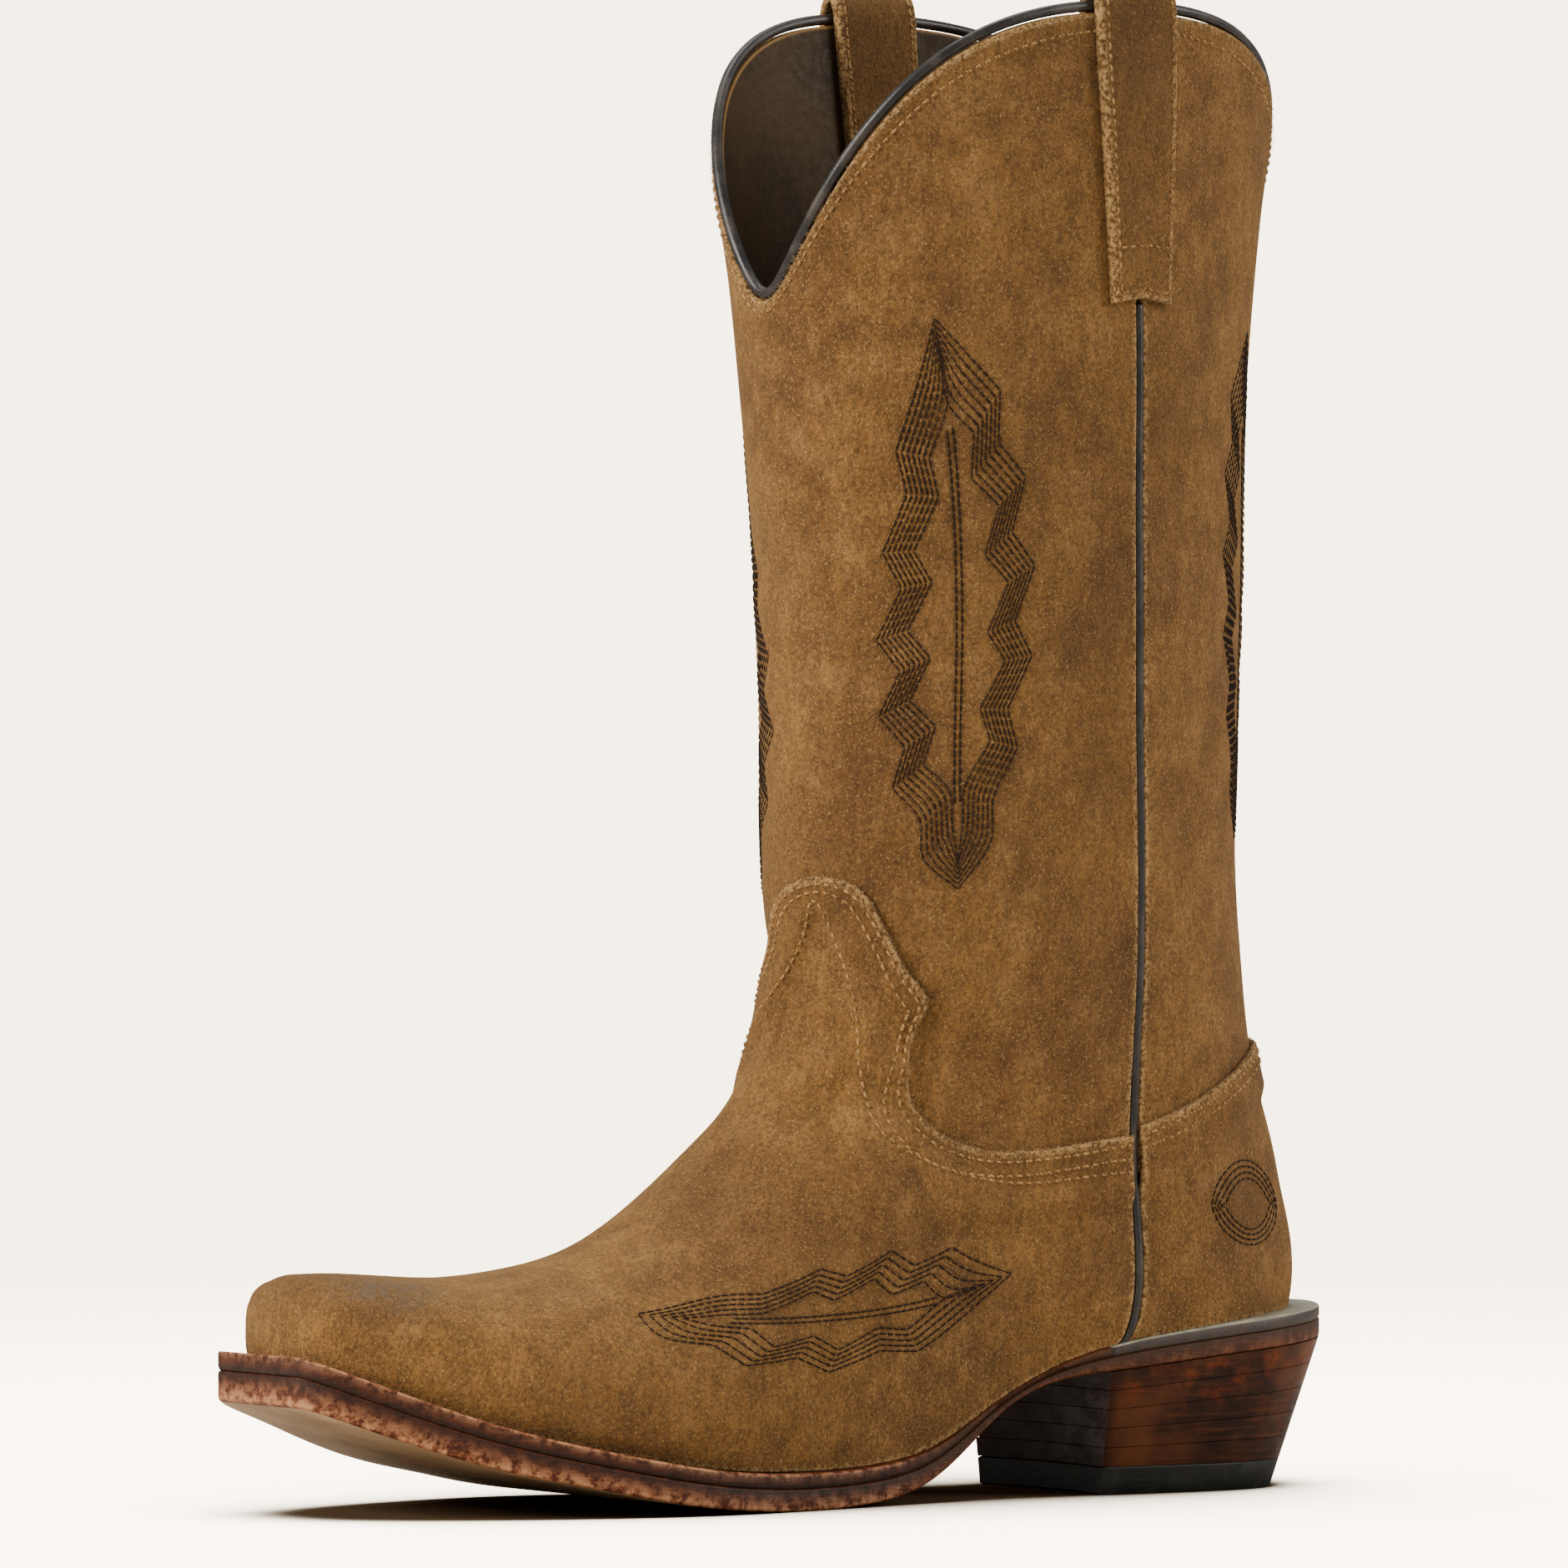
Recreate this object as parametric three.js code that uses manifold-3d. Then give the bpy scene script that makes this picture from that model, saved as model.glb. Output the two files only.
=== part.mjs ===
// Cowboy boot, left foot. Millimetres, Z up, toe towards -Y, outer side towards +X.
import * as THREE from "three";
import Module from "manifold-3d";
import { mergeVertices } from "three/addons/utils/BufferGeometryUtils.js";

const wasm = await Module();
wasm.setup();

// ---- driving dimensions -------------------------------------------------------------------
const GAP = 0.3;              // clear space between neighbouring pieces
const LEATHER = 1.6;          // vamp, counter and shaft panels
const LINING = 1.2;
const STIFFENER = 1.2;        // toe box and heel counter
const LAP = 8.5;              // how far vamp and counter lap over the shaft panels
const LEDGE = 5.2;            // sole edge outside the upper
const TOE_Y = -142.5;         // front of the upper
const SOLE_TOE = -147.5;
const SOLE_HEEL = 153;
const BREAST = 75;            // front of the heel
const TOP_LIFT = 7;
const LIFTS = 5;
const HEEL_SCALE = 0.84;      // underslung heel: width at the floor against the seat
const HEEL_RAKE = 14;         // how far the back of the heel runs forward on its way down
const HEEL_CONCAVE = 3.5;     // hollow of the breast
const BEAD_R = 1.35;
const PIPING_R = 1.25;
const STRAP_W = 27;
const STRAP_T = 2.6;
const STRAP_FOOT = 0.785;     // height of the strap's lower end, as a part of the shaft
const NAIL_R = 1.0;
const HEAD_R = 2.1;

// ---- curves -------------------------------------------------------------------------------
// Natural cubic through [x, y] points, straight beyond its ends.
function spline(points) {
  const n = points.length;
  const x = points.map((p) => p[0]);
  const y = points.map((p) => p[1]);
  const bend = new Array(n).fill(0);
  const upper = new Array(n).fill(0);
  const rhs = new Array(n).fill(0);
  for (let i = 1; i < n - 1; i++) {
    const h0 = x[i] - x[i - 1];
    const h1 = x[i + 1] - x[i];
    const pivot = 2 * (h0 + h1) - h0 * upper[i - 1];
    upper[i] = h1 / pivot;
    rhs[i] = (6 * ((y[i + 1] - y[i]) / h1 - (y[i] - y[i - 1]) / h0) - h0 * rhs[i - 1]) / pivot;
  }
  for (let i = n - 2; i > 0; i--) bend[i] = rhs[i] - upper[i] * bend[i + 1];
  const slope0 = (y[1] - y[0]) / (x[1] - x[0]) - ((x[1] - x[0]) * bend[1]) / 6;
  const span = x[n - 1] - x[n - 2];
  const slope1 = (y[n - 1] - y[n - 2]) / span + (span * bend[n - 2]) / 6;
  return (v) => {
    if (v <= x[0]) return y[0] + (v - x[0]) * slope0;
    if (v >= x[n - 1]) return y[n - 1] + (v - x[n - 1]) * slope1;
    let i = 0;
    while (v > x[i + 1]) i++;
    const h = x[i + 1] - x[i];
    const a = (x[i + 1] - v) / h;
    const b = 1 - a;
    return a * y[i] + b * y[i + 1] + (((a ** 3 - a) * bend[i] + (b ** 3 - b) * bend[i + 1]) * h * h) / 6;
  };
}

// Line where the upper meets the sole, and the ridge over the forefoot (heights against y).
const feather = spline([
  [-150, 41], [-130, 33], [-105, 23.5], [-75, 15.8], [-45, 10.7], [-15, 9.3], [10, 10.8],
  [24, 14.5], [40, 23.5], [54, 30.5], [70, 36], [100, 41], [147, 45.5],
]);
const ridge = spline([
  [-150, 57], [-125, 57], [-100, 55.5], [-75, 57.5], [-50, 65], [-25, 84], [0, 107], [40, 120],
  [80, 110], [115, 92],
]);
// Half widths of the foot, outer and inner side, and how square its section is.
const footOuter = spline([
  [-150, 19], [-125, 27], [-100, 36], [-75, 43], [-55, 45.5], [-30, 43], [0, 37.5], [30, 34],
  [60, 33], [100, 30],
]);
const footInner = spline([
  [-150, 17], [-125, 24.5], [-100, 33], [-75, 40], [-55, 42], [-30, 39], [0, 34], [30, 31.5],
  [60, 32], [100, 30],
]);
const archPower = spline([[-150, 4.5], [-125, 3.4], [-100, 2.6], [-70, 2.1], [-40, 1.9], [0, 1.9], [100, 2]]);
// Shaft against height: front, back, half width and the side seam.
const legFront = spline([
  [30, 40], [60, 25], [90, 12], [120, 2], [150, -3.5], [200, -3.5], [260, -7.5], [300, -12.5],
  [340, -20], [370, -25],
]);
const legBack = spline([
  [30, 140], [45, 142.5], [65, 143], [85, 140.5], [105, 135.5], [130, 133], [155, 131.5], [200, 131.5],
  [250, 132], [300, 135], [340, 142], [370, 148],
]);
const legHalf = spline([
  [30, 30], [60, 31.5], [90, 33], [120, 36], [150, 39], [200, 43], [260, 45.5], [310, 47], [370, 49],
]);
const seamY = spline([
  [38, 78], [50, 81], [72, 83], [93, 81], [125, 78], [175, 72.5], [245, 68.5], [300, 67], [370, 63],
]);
// Sole: half widths on both sides and the height of its underside.
const soleOuter = spline([
  [-147.5, 19], [-145, 22], [-136, 27], [-120, 33.5], [-98, 42], [-75, 48.5], [-55, 51], [-30, 48],
  [0, 40], [30, 33.7], [60, 32.7], [90, 34.7], [112, 34.6],
]);
const soleInner = spline([
  [-147.5, 19], [-145, 22], [-136, 25.5], [-120, 30.5], [-98, 38.5], [-75, 45], [-55, 47.5], [-30, 43],
  [0, 34.5], [30, 29.7], [60, 30.2], [90, 33.7], [112, 34.1],
]);
const soleUnder = spline([
  [-151, 29], [-130, 21], [-110, 14], [-95, 10], [-80, 7], [-65, 4], [-50, 1.8], [-35, 0.5], [-20, 0],
  [0, 0.8], [12, 2.5], [22, 6], [32, 12.5], [42, 20.5], [52, 26.3], [62, 29.3], [75, 31], [110, 34.5],
  [153, 38],
]);

// ---- the lasted surface -------------------------------------------------------------------
const lerp = THREE.MathUtils.lerp;
const ease = (v) => THREE.MathUtils.smoothstep(v, 0, 1);

// Half width squared of the foot part at (y, z); side is +1 outer, -1 inner.
function foot(y, z, side) {
  const w = lerp(footInner(y), footOuter(y), (1 + side) / 2);
  const h = (z - feather(y)) / (ridge(y) - feather(y));
  const up = Math.max((h - 0.28) / 0.72, 0);
  const low = Math.max((0.28 - h) / 0.28, 0);
  const toe = Math.max((TOE_Y + 12 - y) / 12, 0);
  const heel = Math.max((y - 70) / 50, 0);
  return w * w * ((1 - up ** archPower(y)) * (1 - 0.09 * low * low) ** 2 - toe ** 4 - heel * heel);
}

function leg(y, z) {
  const front = legFront(z);
  const back = legBack(z);
  const e = Math.abs((2 * y - front - back) / (back - front));
  return legHalf(z) ** 2 * (1 - e ** 2.15);
}

// Foot and leg joined with a soft throat.
function half2(y, z, side) {
  const a = foot(y, z, side);
  const b = leg(y, z);
  const m = Math.max(a, b);
  const k = 1500 / (1 + (Math.max(m, 0) / 500) ** 2);
  const h = Math.max(k - Math.abs(a - b), 0) / k;
  return m + (h * h * k) / 4;
}

// Left-foot swing of the shaft and inflare of the toe, applied to every piece at the end.
function swing(v) {
  const turn = THREE.MathUtils.degToRad(9) * ease((v.z - 60) / 110) * ease((v.y + 60) / 60);
  const flare = Math.max((20 - v.y) / 170, 0);
  const dy = v.y - 62;
  const x = v.x * Math.cos(turn) - dy * Math.sin(turn) - 5 * flare * flare;
  return v.set(x, v.x * Math.sin(turn) + dy * Math.cos(turn) + 62, v.z);
}

// Where a line from inside the body meets its side-view outline.
function reach(y, z, angle, far) {
  let lo = 0;
  let hi = far;
  for (let i = 0; i < 26; i++) {
    const mid = (lo + hi) / 2;
    if (half2(y + mid * Math.cos(angle), z + mid * Math.sin(angle), 0) > 0) lo = mid;
    else hi = mid;
  }
  return [y + lo * Math.cos(angle), z + lo * Math.sin(angle)];
}

// t runs from the feather line (0) to the topline (1). Guides for the front edge: t, y, z, angle.
const guides = [
  [0, -128, 38.3, 180], [0.02, -128, 45, 176], [0.045, -124, 46, 135], [0.07, -110, 42, 95],
  [0.12, -85, 38, 90], [0.17, -52, 42, 95], [0.22, -20, 60, 112], [0.26, 5, 86, 132],
  [0.3, 20, 112, 152], [0.36, 22, 140, 178], [0.45, 22, 162, 180], [1, 15, 296, 180],
];
const guideY = spline(guides.map((g) => [g[0], g[1]]));
const guideZ = spline(guides.map((g) => [g[0], g[2]]));
const guideAngle = spline(guides.map((g) => [g[0], g[3]]));
const frontEdge = (t) => reach(guideY(t), guideZ(t), THREE.MathUtils.degToRad(guideAngle(t)), 70);
const backEdge = (t) => reach(100, 44 + 266 * t, 0, 80);
const seamLine = (t) => [seamY(38.5 + 329 * t), 38.5 + 329 * t];

// Half a ring round the boot at t, from its centre line to the side seam, measured along its length.
const ringCache = new Map();
function ring(t, side, back) {
  const key = `${t}|${side}|${back}`;
  if (ringCache.has(key)) return ringCache.get(key);
  const [y0, z0] = back ? backEdge(t) : frontEdge(t);
  const [y1, z1] = seamLine(t);
  const scallop = Math.max((t - 0.55) / 0.45, 0) ** 2;
  const low = Math.max(1 - t / 0.3, 0) ** 2;
  const wall = back ? 0 : ease(t / 0.03);
  const points = [];
  for (let i = 0; i <= 64; i++) {
    const q = i / 64;
    const flat = 1 - Math.cos((q * Math.PI) / 2);
    const y = lerp(y0, y1, flat);
    const plain = z0 + (z1 - z0) * lerp(flat, 1 - (1 - q) ** 2.4, scallop);
    const z = lerp(plain, feather(y), low * (1 - wall * (1 - q) ** 3));
    const x = i === 0 ? 0 : side * Math.sqrt(Math.max(half2(y, z, side), 0));
    points.push(new THREE.Vector3(x, y, z));
  }
  const along = [0];
  for (let i = 1; i <= 64; i++) along.push(along[i - 1] + points[i].distanceTo(points[i - 1]));
  const made = { points, along };
  ringCache.set(key, made);
  return made;
}

// Point on the surface. |a| is 0 at the front centre, 0.5 at the side seam and 1 at the back centre;
// a is positive on the outer side.
function surface(a, t) {
  const round = a > 1 ? a - 2 : a;
  const side = round < 0 ? -1 : 1;
  const s = Math.abs(round);
  const { points, along } = ring(t, side, s > 0.5);
  const want = (s > 0.5 ? 2 - 2 * s : 2 * s) * along[64];
  let i = 0;
  while (i < 63 && along[i + 1] < want) i++;
  const f = (want - along[i]) / Math.max(along[i + 1] - along[i], 1e-9);
  return new THREE.Vector3().lerpVectors(points[i], points[i + 1], f);
}

function outward(p) {
  const side = p.x < 0 ? -1 : 1;
  const e = 0.4;
  const gy = (half2(p.y + e, p.z, side) - half2(p.y - e, p.z, side)) / (2 * e);
  const gz = (half2(p.y, p.z + e, side) - half2(p.y, p.z - e, side)) / (2 * e);
  return new THREE.Vector3(2 * p.x, -gy, -gz).normalize();
}

// Point held d outside the surface. At the feather line it stays at that line's height.
function offset(a, t, d) {
  const p = surface(a, t);
  const n = outward(p);
  const level = ease(1 - t / 0.04);
  const flat = new THREE.Vector3(n.x, n.y, 0).normalize();
  n.lerp(flat, level).normalize();
  return p.addScaledVector(n, d);
}

// Millimetres along the ring for a unit of a.
const ringScale = (a, t) => surface(a, t).distanceTo(surface(a - 0.01 * Math.sign(a), t)) / 0.01;

// ---- building blocks ----------------------------------------------------------------------
// Turn the diagonals of a box's -Z cells to match those of its +Z cells, so stacked sheets nest.
function splitAlike(box) {
  const { start, count } = box.groups[5];
  for (let i = start; i < start + count; i += 6) {
    const [a, b, d, , c] = box.index.array.slice(i, i + 6);
    box.index.array.set([a, b, c, a, c, d], i);
  }
}

// A box with nu by nv by nw cells whose points are placed by place(u, v, w), each from 0 to 1.
function mapped(nu, nv, nw, place) {
  const box = new THREE.BoxGeometry(1, 1, 1, nu, nv, nw);
  splitAlike(box);
  box.deleteAttribute("normal");
  box.deleteAttribute("uv");
  const geometry = mergeVertices(box, 1e-4);
  const pos = geometry.attributes.position;
  for (let i = 0; i < pos.count; i++) {
    const p = place(pos.getX(i) + 0.5, pos.getY(i) + 0.5, pos.getZ(i) + 0.5);
    pos.setXYZ(i, p.x, p.y, p.z);
  }
  return geometry;
}

// A sheet over the surface. Stations run upwards; each gives at(u) -> [a, t] and its inner offset d,
// with the number of rows up to the next one. A small sheet may keep only some rows and columns of
// the grid, so that the layers around it stay parallel to it.
function sheet(columns, stations, thickness, { lean = 1, trim = 0, keepRows = 0 } = {}) {
  const total = keepRows || stations.slice(0, -1).reduce((sum, s) => sum + s.rows, 0);
  const kept = columns - 2 * trim;
  return mapped(kept, total, 1, (uKept, v, w) => {
    const u = (trim + uKept * kept) / columns;
    let row = Math.round(v * total);
    let k = 0;
    while (k < stations.length - 2 && row > stations[k].rows) {
      row -= stations[k].rows;
      k++;
    }
    const f = row / stations[k].rows;
    const [a0, t0] = stations[k].at(u);
    const [a1, t1] = stations[k + 1].at(u);
    const power = k === 0 ? lean : 1;
    const d = lerp(stations[k].d, stations[k + 1].d, f);
    return offset(lerp(a0, a1, f), lerp(t0, t1, f ** power), d + w * thickness);
  });
}

// Square to round: keeps a 2 by 2 celled box section a near circle.
const disc = (p, q) => [p * Math.sqrt(1 - (q * q) / 2), q * Math.sqrt(1 - (p * p) / 2)];

function toManifold(geometry) {
  const merged = mergeVertices(geometry, 1e-4);
  return new wasm.Manifold(new wasm.Mesh({
    numProp: 3,
    vertProperties: new Float32Array(merged.attributes.position.array),
    triVerts: new Uint32Array(merged.index.array),
  }));
}

function toGeometry(solid) {
  const mesh = solid.getMesh();
  const geometry = new THREE.BufferGeometry();
  geometry.setAttribute("position", new THREE.BufferAttribute(Float32Array.from(mesh.vertProperties), 3));
  geometry.setIndex(new THREE.BufferAttribute(Uint32Array.from(mesh.triVerts), 1));
  return geometry;
}

const cut = (geometry, tools) =>
  toGeometry(tools.reduce((solid, tool) => solid.subtract(toManifold(tool)), toManifold(geometry)));

// ---- upper --------------------------------------------------------------------------------
// Top edge of the vamp from the tongue to the outer seam, [a, t].
const vampEdge = [
  [0.045, 0.416], [0.084, 0.406], [0.112, 0.384], [0.128, 0.352], [0.15, 0.315], [0.172, 0.287],
  [0.188, 0.263], [0.213, 0.2455], [0.253, 0.231], [0.298, 0.216], [0.355, 0.2], [0.414, 0.191],
  [0.4625, 0.1875], [0.5, 0.184],
];
const MM_A = 190;             // rough size of a unit of a and of t over the instep
const MM_T = 290;

// The same edge over the inner side, mirrored about the tongue and closing on the seam.
function mirrored([a, t]) {
  return [-(a - 0.09 * ease((t - 0.22) / 0.12)), t];
}

const vampCurve = new THREE.CatmullRomCurve3(
  [...vampEdge.slice(1).reverse().map(mirrored), ...vampEdge]
    .map(([a, t]) => new THREE.Vector3(a * MM_A, t * MM_T, 0)),
  false,
  "centripetal",
);

// Vamp edge at u, moved into the vamp by some millimetres.
function vampTop(inset) {
  return (u) => {
    const p = vampCurve.getPointAt(u);
    const dir = vampCurve.getTangentAt(u);
    return [(p.x + dir.y * inset) / MM_A, (p.y - dir.x * inset) / MM_T];
  };
}

const counterEdge = spline([[0.5, 0.189], [0.585, 0.2], [0.673, 0.215], [0.764, 0.2325], [0.86, 0.25], [1, 0.262]]);
const mirrorBack = (a) => (a > 1 ? 2 - a : a);
const counterTop = (inset) => (u) => {
  const a = 0.5 + u;
  return [a, counterEdge(mirrorBack(a)) - inset / 310];
};

// Keep a sheet's side edges clear of the piping in the seams.
const SEAM_CLEAR = PIPING_R + GAP + 0.3;
function clearFront(at) {
  return (u) => {
    const [a, t] = at(u);
    const room = SEAM_CLEAR / ringScale(0.5, t);
    return [a * (1 - 2 * room), t];
  };
}
function clearBack(at) {
  return (u) => {
    const [a, t] = at(u);
    const room = SEAM_CLEAR / ringScale(0.52, t);
    return [1 + (a - 1) * (1 - 2 * room), t];
  };
}
const crowd = (u) => 0.5 + 0.5 * Math.sign(u - 0.5) * Math.abs(2 * u - 1) ** 1.3;
const frontAt = (t) => (u) => [u - 0.5, t];
const backAt = (t) => (u) => [0.5 + u, t];

const OUT = 0.15;             // inner face of the outer leather
const OVER = OUT + LEATHER + GAP;
const SKIN = OUT - GAP - LINING;
const STIFF = OUT - 0.5 - STIFFENER;
const DEEP = STIFF - 0.5 - LINING;

const FRONT_COLUMNS = 24;
const BACK_COLUMNS = 14;
const toeToLap = (d) => [
  { at: clearFront((u) => [crowd(u) - 0.5, 0]), d, rows: 12 },
  { at: clearFront(vampTop(LAP + 2)), d, rows: 1 },
];
const lapToTop = (d) => [
  { at: clearFront(vampTop(0)), d, rows: 5 },
  { at: clearFront(frontAt(0.5)), d, rows: 3 },
  { at: clearFront(frontAt(1)), d },
];
const seatToLap = (d) => [
  { at: clearBack(backAt(0)), d, rows: 4 },
  { at: clearBack(counterTop(LAP + 2)), d, rows: 1 },
];
const counterToTop = (d) => [
  { at: clearBack(counterTop(0)), d, rows: 1 },
  { at: clearBack(counterTop(-14)), d: Math.max(d, SKIN), rows: 6 },
  { at: clearBack(backAt(1)), d: Math.max(d, SKIN) },
];
const VAMP_LEAN = { lean: 1.7 };

const vamp = () => sheet(FRONT_COLUMNS, [
  ...toeToLap(OUT),
  { at: clearFront(vampTop(LAP + 0.6)), d: OVER, rows: 1 },
  { at: clearFront(vampTop(0)), d: OVER },
], LEATHER, VAMP_LEAN);

const vampLining = () => sheet(FRONT_COLUMNS, [
  ...toeToLap(DEEP),
], LINING, VAMP_LEAN);

const toeBox = () => sheet(FRONT_COLUMNS, toeToLap(STIFF), STIFFENER,
  { ...VAMP_LEAN, trim: 7, keepRows: 6 });

const shaftFront = () => sheet(FRONT_COLUMNS, [
  { at: clearFront(vampTop(LAP)), d: OUT, rows: 1 },
  ...lapToTop(OUT),
], LEATHER);

const shaftLiningFront = () => sheet(FRONT_COLUMNS, [
  { at: clearFront(vampTop(LAP)), d: SKIN, rows: 1 },
  ...lapToTop(SKIN),
], LINING);

const counterCover = () => sheet(BACK_COLUMNS, [
  ...seatToLap(OUT),
  { at: clearBack(counterTop(LAP + 0.6)), d: OVER, rows: 1 },
  { at: clearBack(counterTop(0)), d: OVER },
], LEATHER);

const counterStiffener = () => sheet(BACK_COLUMNS, seatToLap(STIFF), STIFFENER,
  { trim: 2, keepRows: 4 });

const shaftBack = () => sheet(BACK_COLUMNS, [
  { at: clearBack(counterTop(LAP)), d: OUT, rows: 1 },
  ...counterToTop(OUT),
], LEATHER);

const shaftLiningBack = () => sheet(BACK_COLUMNS, [...seatToLap(DEEP), ...counterToTop(DEEP)], LINING);

// Bead on the topline between panels and lining, square to the line and mitred in the dips.
function toplineBead(columns, at) {
  return mapped(columns, 2, 2, (u, v, w) => {
    const a = at(u)[0];
    const p = surface(a, 1);
    const n = outward(p);
    const ahead = surface(a + 0.004, 1).sub(p);
    const behind = p.clone().sub(surface(a - 0.004, 1));
    const risers = [ahead, behind].map((e) => n.clone().cross(e).normalize());
    const mean = risers[0].clone().add(risers[1]).normalize();
    const mitre = 1 / Math.max(mean.dot(risers[0]), 0.6);
    const [dv, dw] = disc(2 * v - 1, 2 * w - 1);
    const rise = mitre * (BEAD_R * (1 + dv) + GAP + 0.15);
    return p.addScaledVector(mean, rise).addScaledVector(n, BEAD_R * dw);
  });
}

// Welt of dark leather standing in a side seam, from the feather line to the pull strap.
function piping(side) {
  return mapped(2, 14, 2, (u, v, w) => {
    const t = lerp(0.004, STRAP_FOOT - 0.002, v);
    const p = surface(side * 0.5, t);
    const n = outward(p);
    const across = surface(side * 0.505, t).sub(p).normalize().multiplyScalar(side);
    const [du, dw] = disc(2 * u - 1, 2 * w - 1);
    return p.addScaledVector(n, 1.0 + PIPING_R * dw).addScaledVector(across, PIPING_R * du);
  });
}

// Strap sewn to the outside of the shaft, folded over the top and sewn down inside.
function pullStrap(side) {
  const outer = OUT + LEATHER + GAP;
  const inner = SKIN - GAP;
  const legRows = 5;
  const arcRows = 6;
  const rows = 2 * legRows + arcRows;
  return mapped(4, rows, 1, (u, v, w) => {
    const row = Math.round(v * rows);
    const half = (q) => lerp(STRAP_W / 2 - 2, STRAP_W / 2, q);
    const place = (q, d, rise) => {
      const t = lerp(STRAP_FOOT, 1, q);
      const a = side * 0.5 + (((2 * u - 1) * half(q)) / ringScale(side * 0.5, t));
      const p = surface(a, t);
      const n = outward(surface(side * 0.5, t));
      return p.addScaledVector(n, d).add(new THREE.Vector3(0, 0, rise));
    };
    if (row <= legRows) return place(row / legRows, outer + w * STRAP_T, 0);
    if (row >= legRows + arcRows) return place((rows - row) / legRows, inner - w * STRAP_T, 0);
    const angle = (Math.PI * (row - legRows)) / arcRows;
    const mid = (outer + inner) / 2;
    const reachOut = (outer - inner) / 2 + w * STRAP_T;
    return place(1, mid + reachOut * Math.cos(angle), (6.4 + w * STRAP_T) * Math.sin(angle));
  });
}

// ---- bottom -------------------------------------------------------------------------------
const edge = (y) => feather(y) - soleUnder(y);          // whole sole edge
const outsoleTop = (y) => soleUnder(y) + 0.62 * (edge(y) - 2 * GAP);
const weltTop = (y) => feather(y) - 0.85;
const ROUND_FROM = 112;       // the outline closes round the heel from here
function soleHalf(y, side) {
  const half = side > 0 ? soleOuter : soleInner;
  if (y < ROUND_FROM) return half(y);
  return half(ROUND_FROM) * Math.sqrt(1 - ((y - ROUND_FROM) / (SOLE_HEEL - ROUND_FROM)) ** 2.3);
}
const lastHalf = (y, side) => Math.sqrt(Math.max(half2(y, feather(y) + 1.2, side), 0));
const seatEnd = legBack(46);
// Cross sections of the sole, closer together where it bends or narrows.
const SECTIONS = [
  -147.5, -146.6, -144.5, -141, -135, -126, -114, -98, -82, -66, -50, -34, -18, -4, 6, 14, 21, 28, 35,
  42, 49, 56, 64, 75, 92, 108, 120, 130, 138, 144.5, 149, 151.5, 152.6,
];
const BACK_END = SECTIONS[SECTIONS.length - 1];
const between = (y0, y1) => [y0, ...SECTIONS.filter((y) => y > y0 + 1.5 && y < y1 - 1.5), y1];

// A plate across the sole between two heights; halfAt(y, side) gives its half width.
function plate(sections, halfAt, bottom, top) {
  const rows = sections.length - 1;
  return mapped(2, rows, 1, (u, v, w) => {
    const y = sections[Math.round(v * rows)];
    const x = 2 * u - 1;
    return new THREE.Vector3(x * halfAt(y, x < 0 ? -1 : 1), y, w ? top(y) : bottom(y));
  });
}

// Plates inside the upper follow the inside of the last.
function innerPlate(fit, shrink, y0, y1, bottom, top) {
  const mid = (TOE_Y + seatEnd) / 2;
  const half = (seatEnd - TOE_Y) / 2;
  const stretch = (y) => mid + ((y - mid) * half) / (half - shrink);
  return plate(between(y0, y1), (y, side) => fit * lastHalf(stretch(y), side), bottom, top);
}

const outsole = () => plate(SECTIONS, soleHalf, soleUnder, outsoleTop);
const insole = () => innerPlate(0.87, 5, TOE_Y + 7, seatEnd - 6,
  (y) => feather(y) + 0.05, (y) => feather(y) + 2.85);
const footbed = () => innerPlate(0.84, 7, TOE_Y + 9.5, seatEnd - 8,
  (y) => feather(y) + 3.15, (y) => feather(y) + 6.4);
const corkFiller = () => innerPlate(0.77, 14, TOE_Y + 16, 6,
  (y) => outsoleTop(y) + GAP, weltTop);

function shank() {
  const mid = (y) => (outsoleTop(y) + feather(y)) / 2;
  return plate(between(14, 106), () => 6, (y) => mid(y) - 0.5, (y) => mid(y) + 0.5);
}

// A strip round one end of the sole: outer edge on the outline, inner edge under the insole.
function rim(sections, yEndInner) {
  const across = 2;
  const n = sections.length - 1;
  const columns = 2 * n + across;
  const yStart = sections[0];
  const yEnd = sections[n];
  return mapped(columns, 1, 1, (u, v, w) => {
    const column = Math.round(u * columns);
    const k = Math.min(column, columns - column, n);
    const middle = column > n && column < n + across;
    const side = column <= columns / 2 ? 1 : -1;
    const yOuter = sections[k];
    const yInner = lerp(yStart, yEndInner, (yOuter - yStart) / (yEnd - yStart));
    const outer = middle ? 0 : soleHalf(yOuter, side) * side;
    const inner = middle ? 0 : 0.8 * lastHalf(yInner, side) * side;
    const near = yEnd < yStart ? 1 - v : v;
    const y = lerp(yOuter, yInner, near);
    return new THREE.Vector3(lerp(outer, inner, near), y, w ? weltTop(y) : outsoleTop(y) + GAP);
  });
}
const welt = () => rim(SECTIONS.filter((y) => y < BREAST - 1).concat(BREAST - GAP).reverse(), TOE_Y + 13);
const heelRand = () => rim([BREAST, ...SECTIONS.filter((y) => y > BREAST + 1)], seatEnd - 12);

// ---- heel ---------------------------------------------------------------------------------
const seat = (y) => soleUnder(y) - GAP;
const stackTop = (k) => (y) => lerp(TOP_LIFT, seat(y), k / LIFTS);

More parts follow.
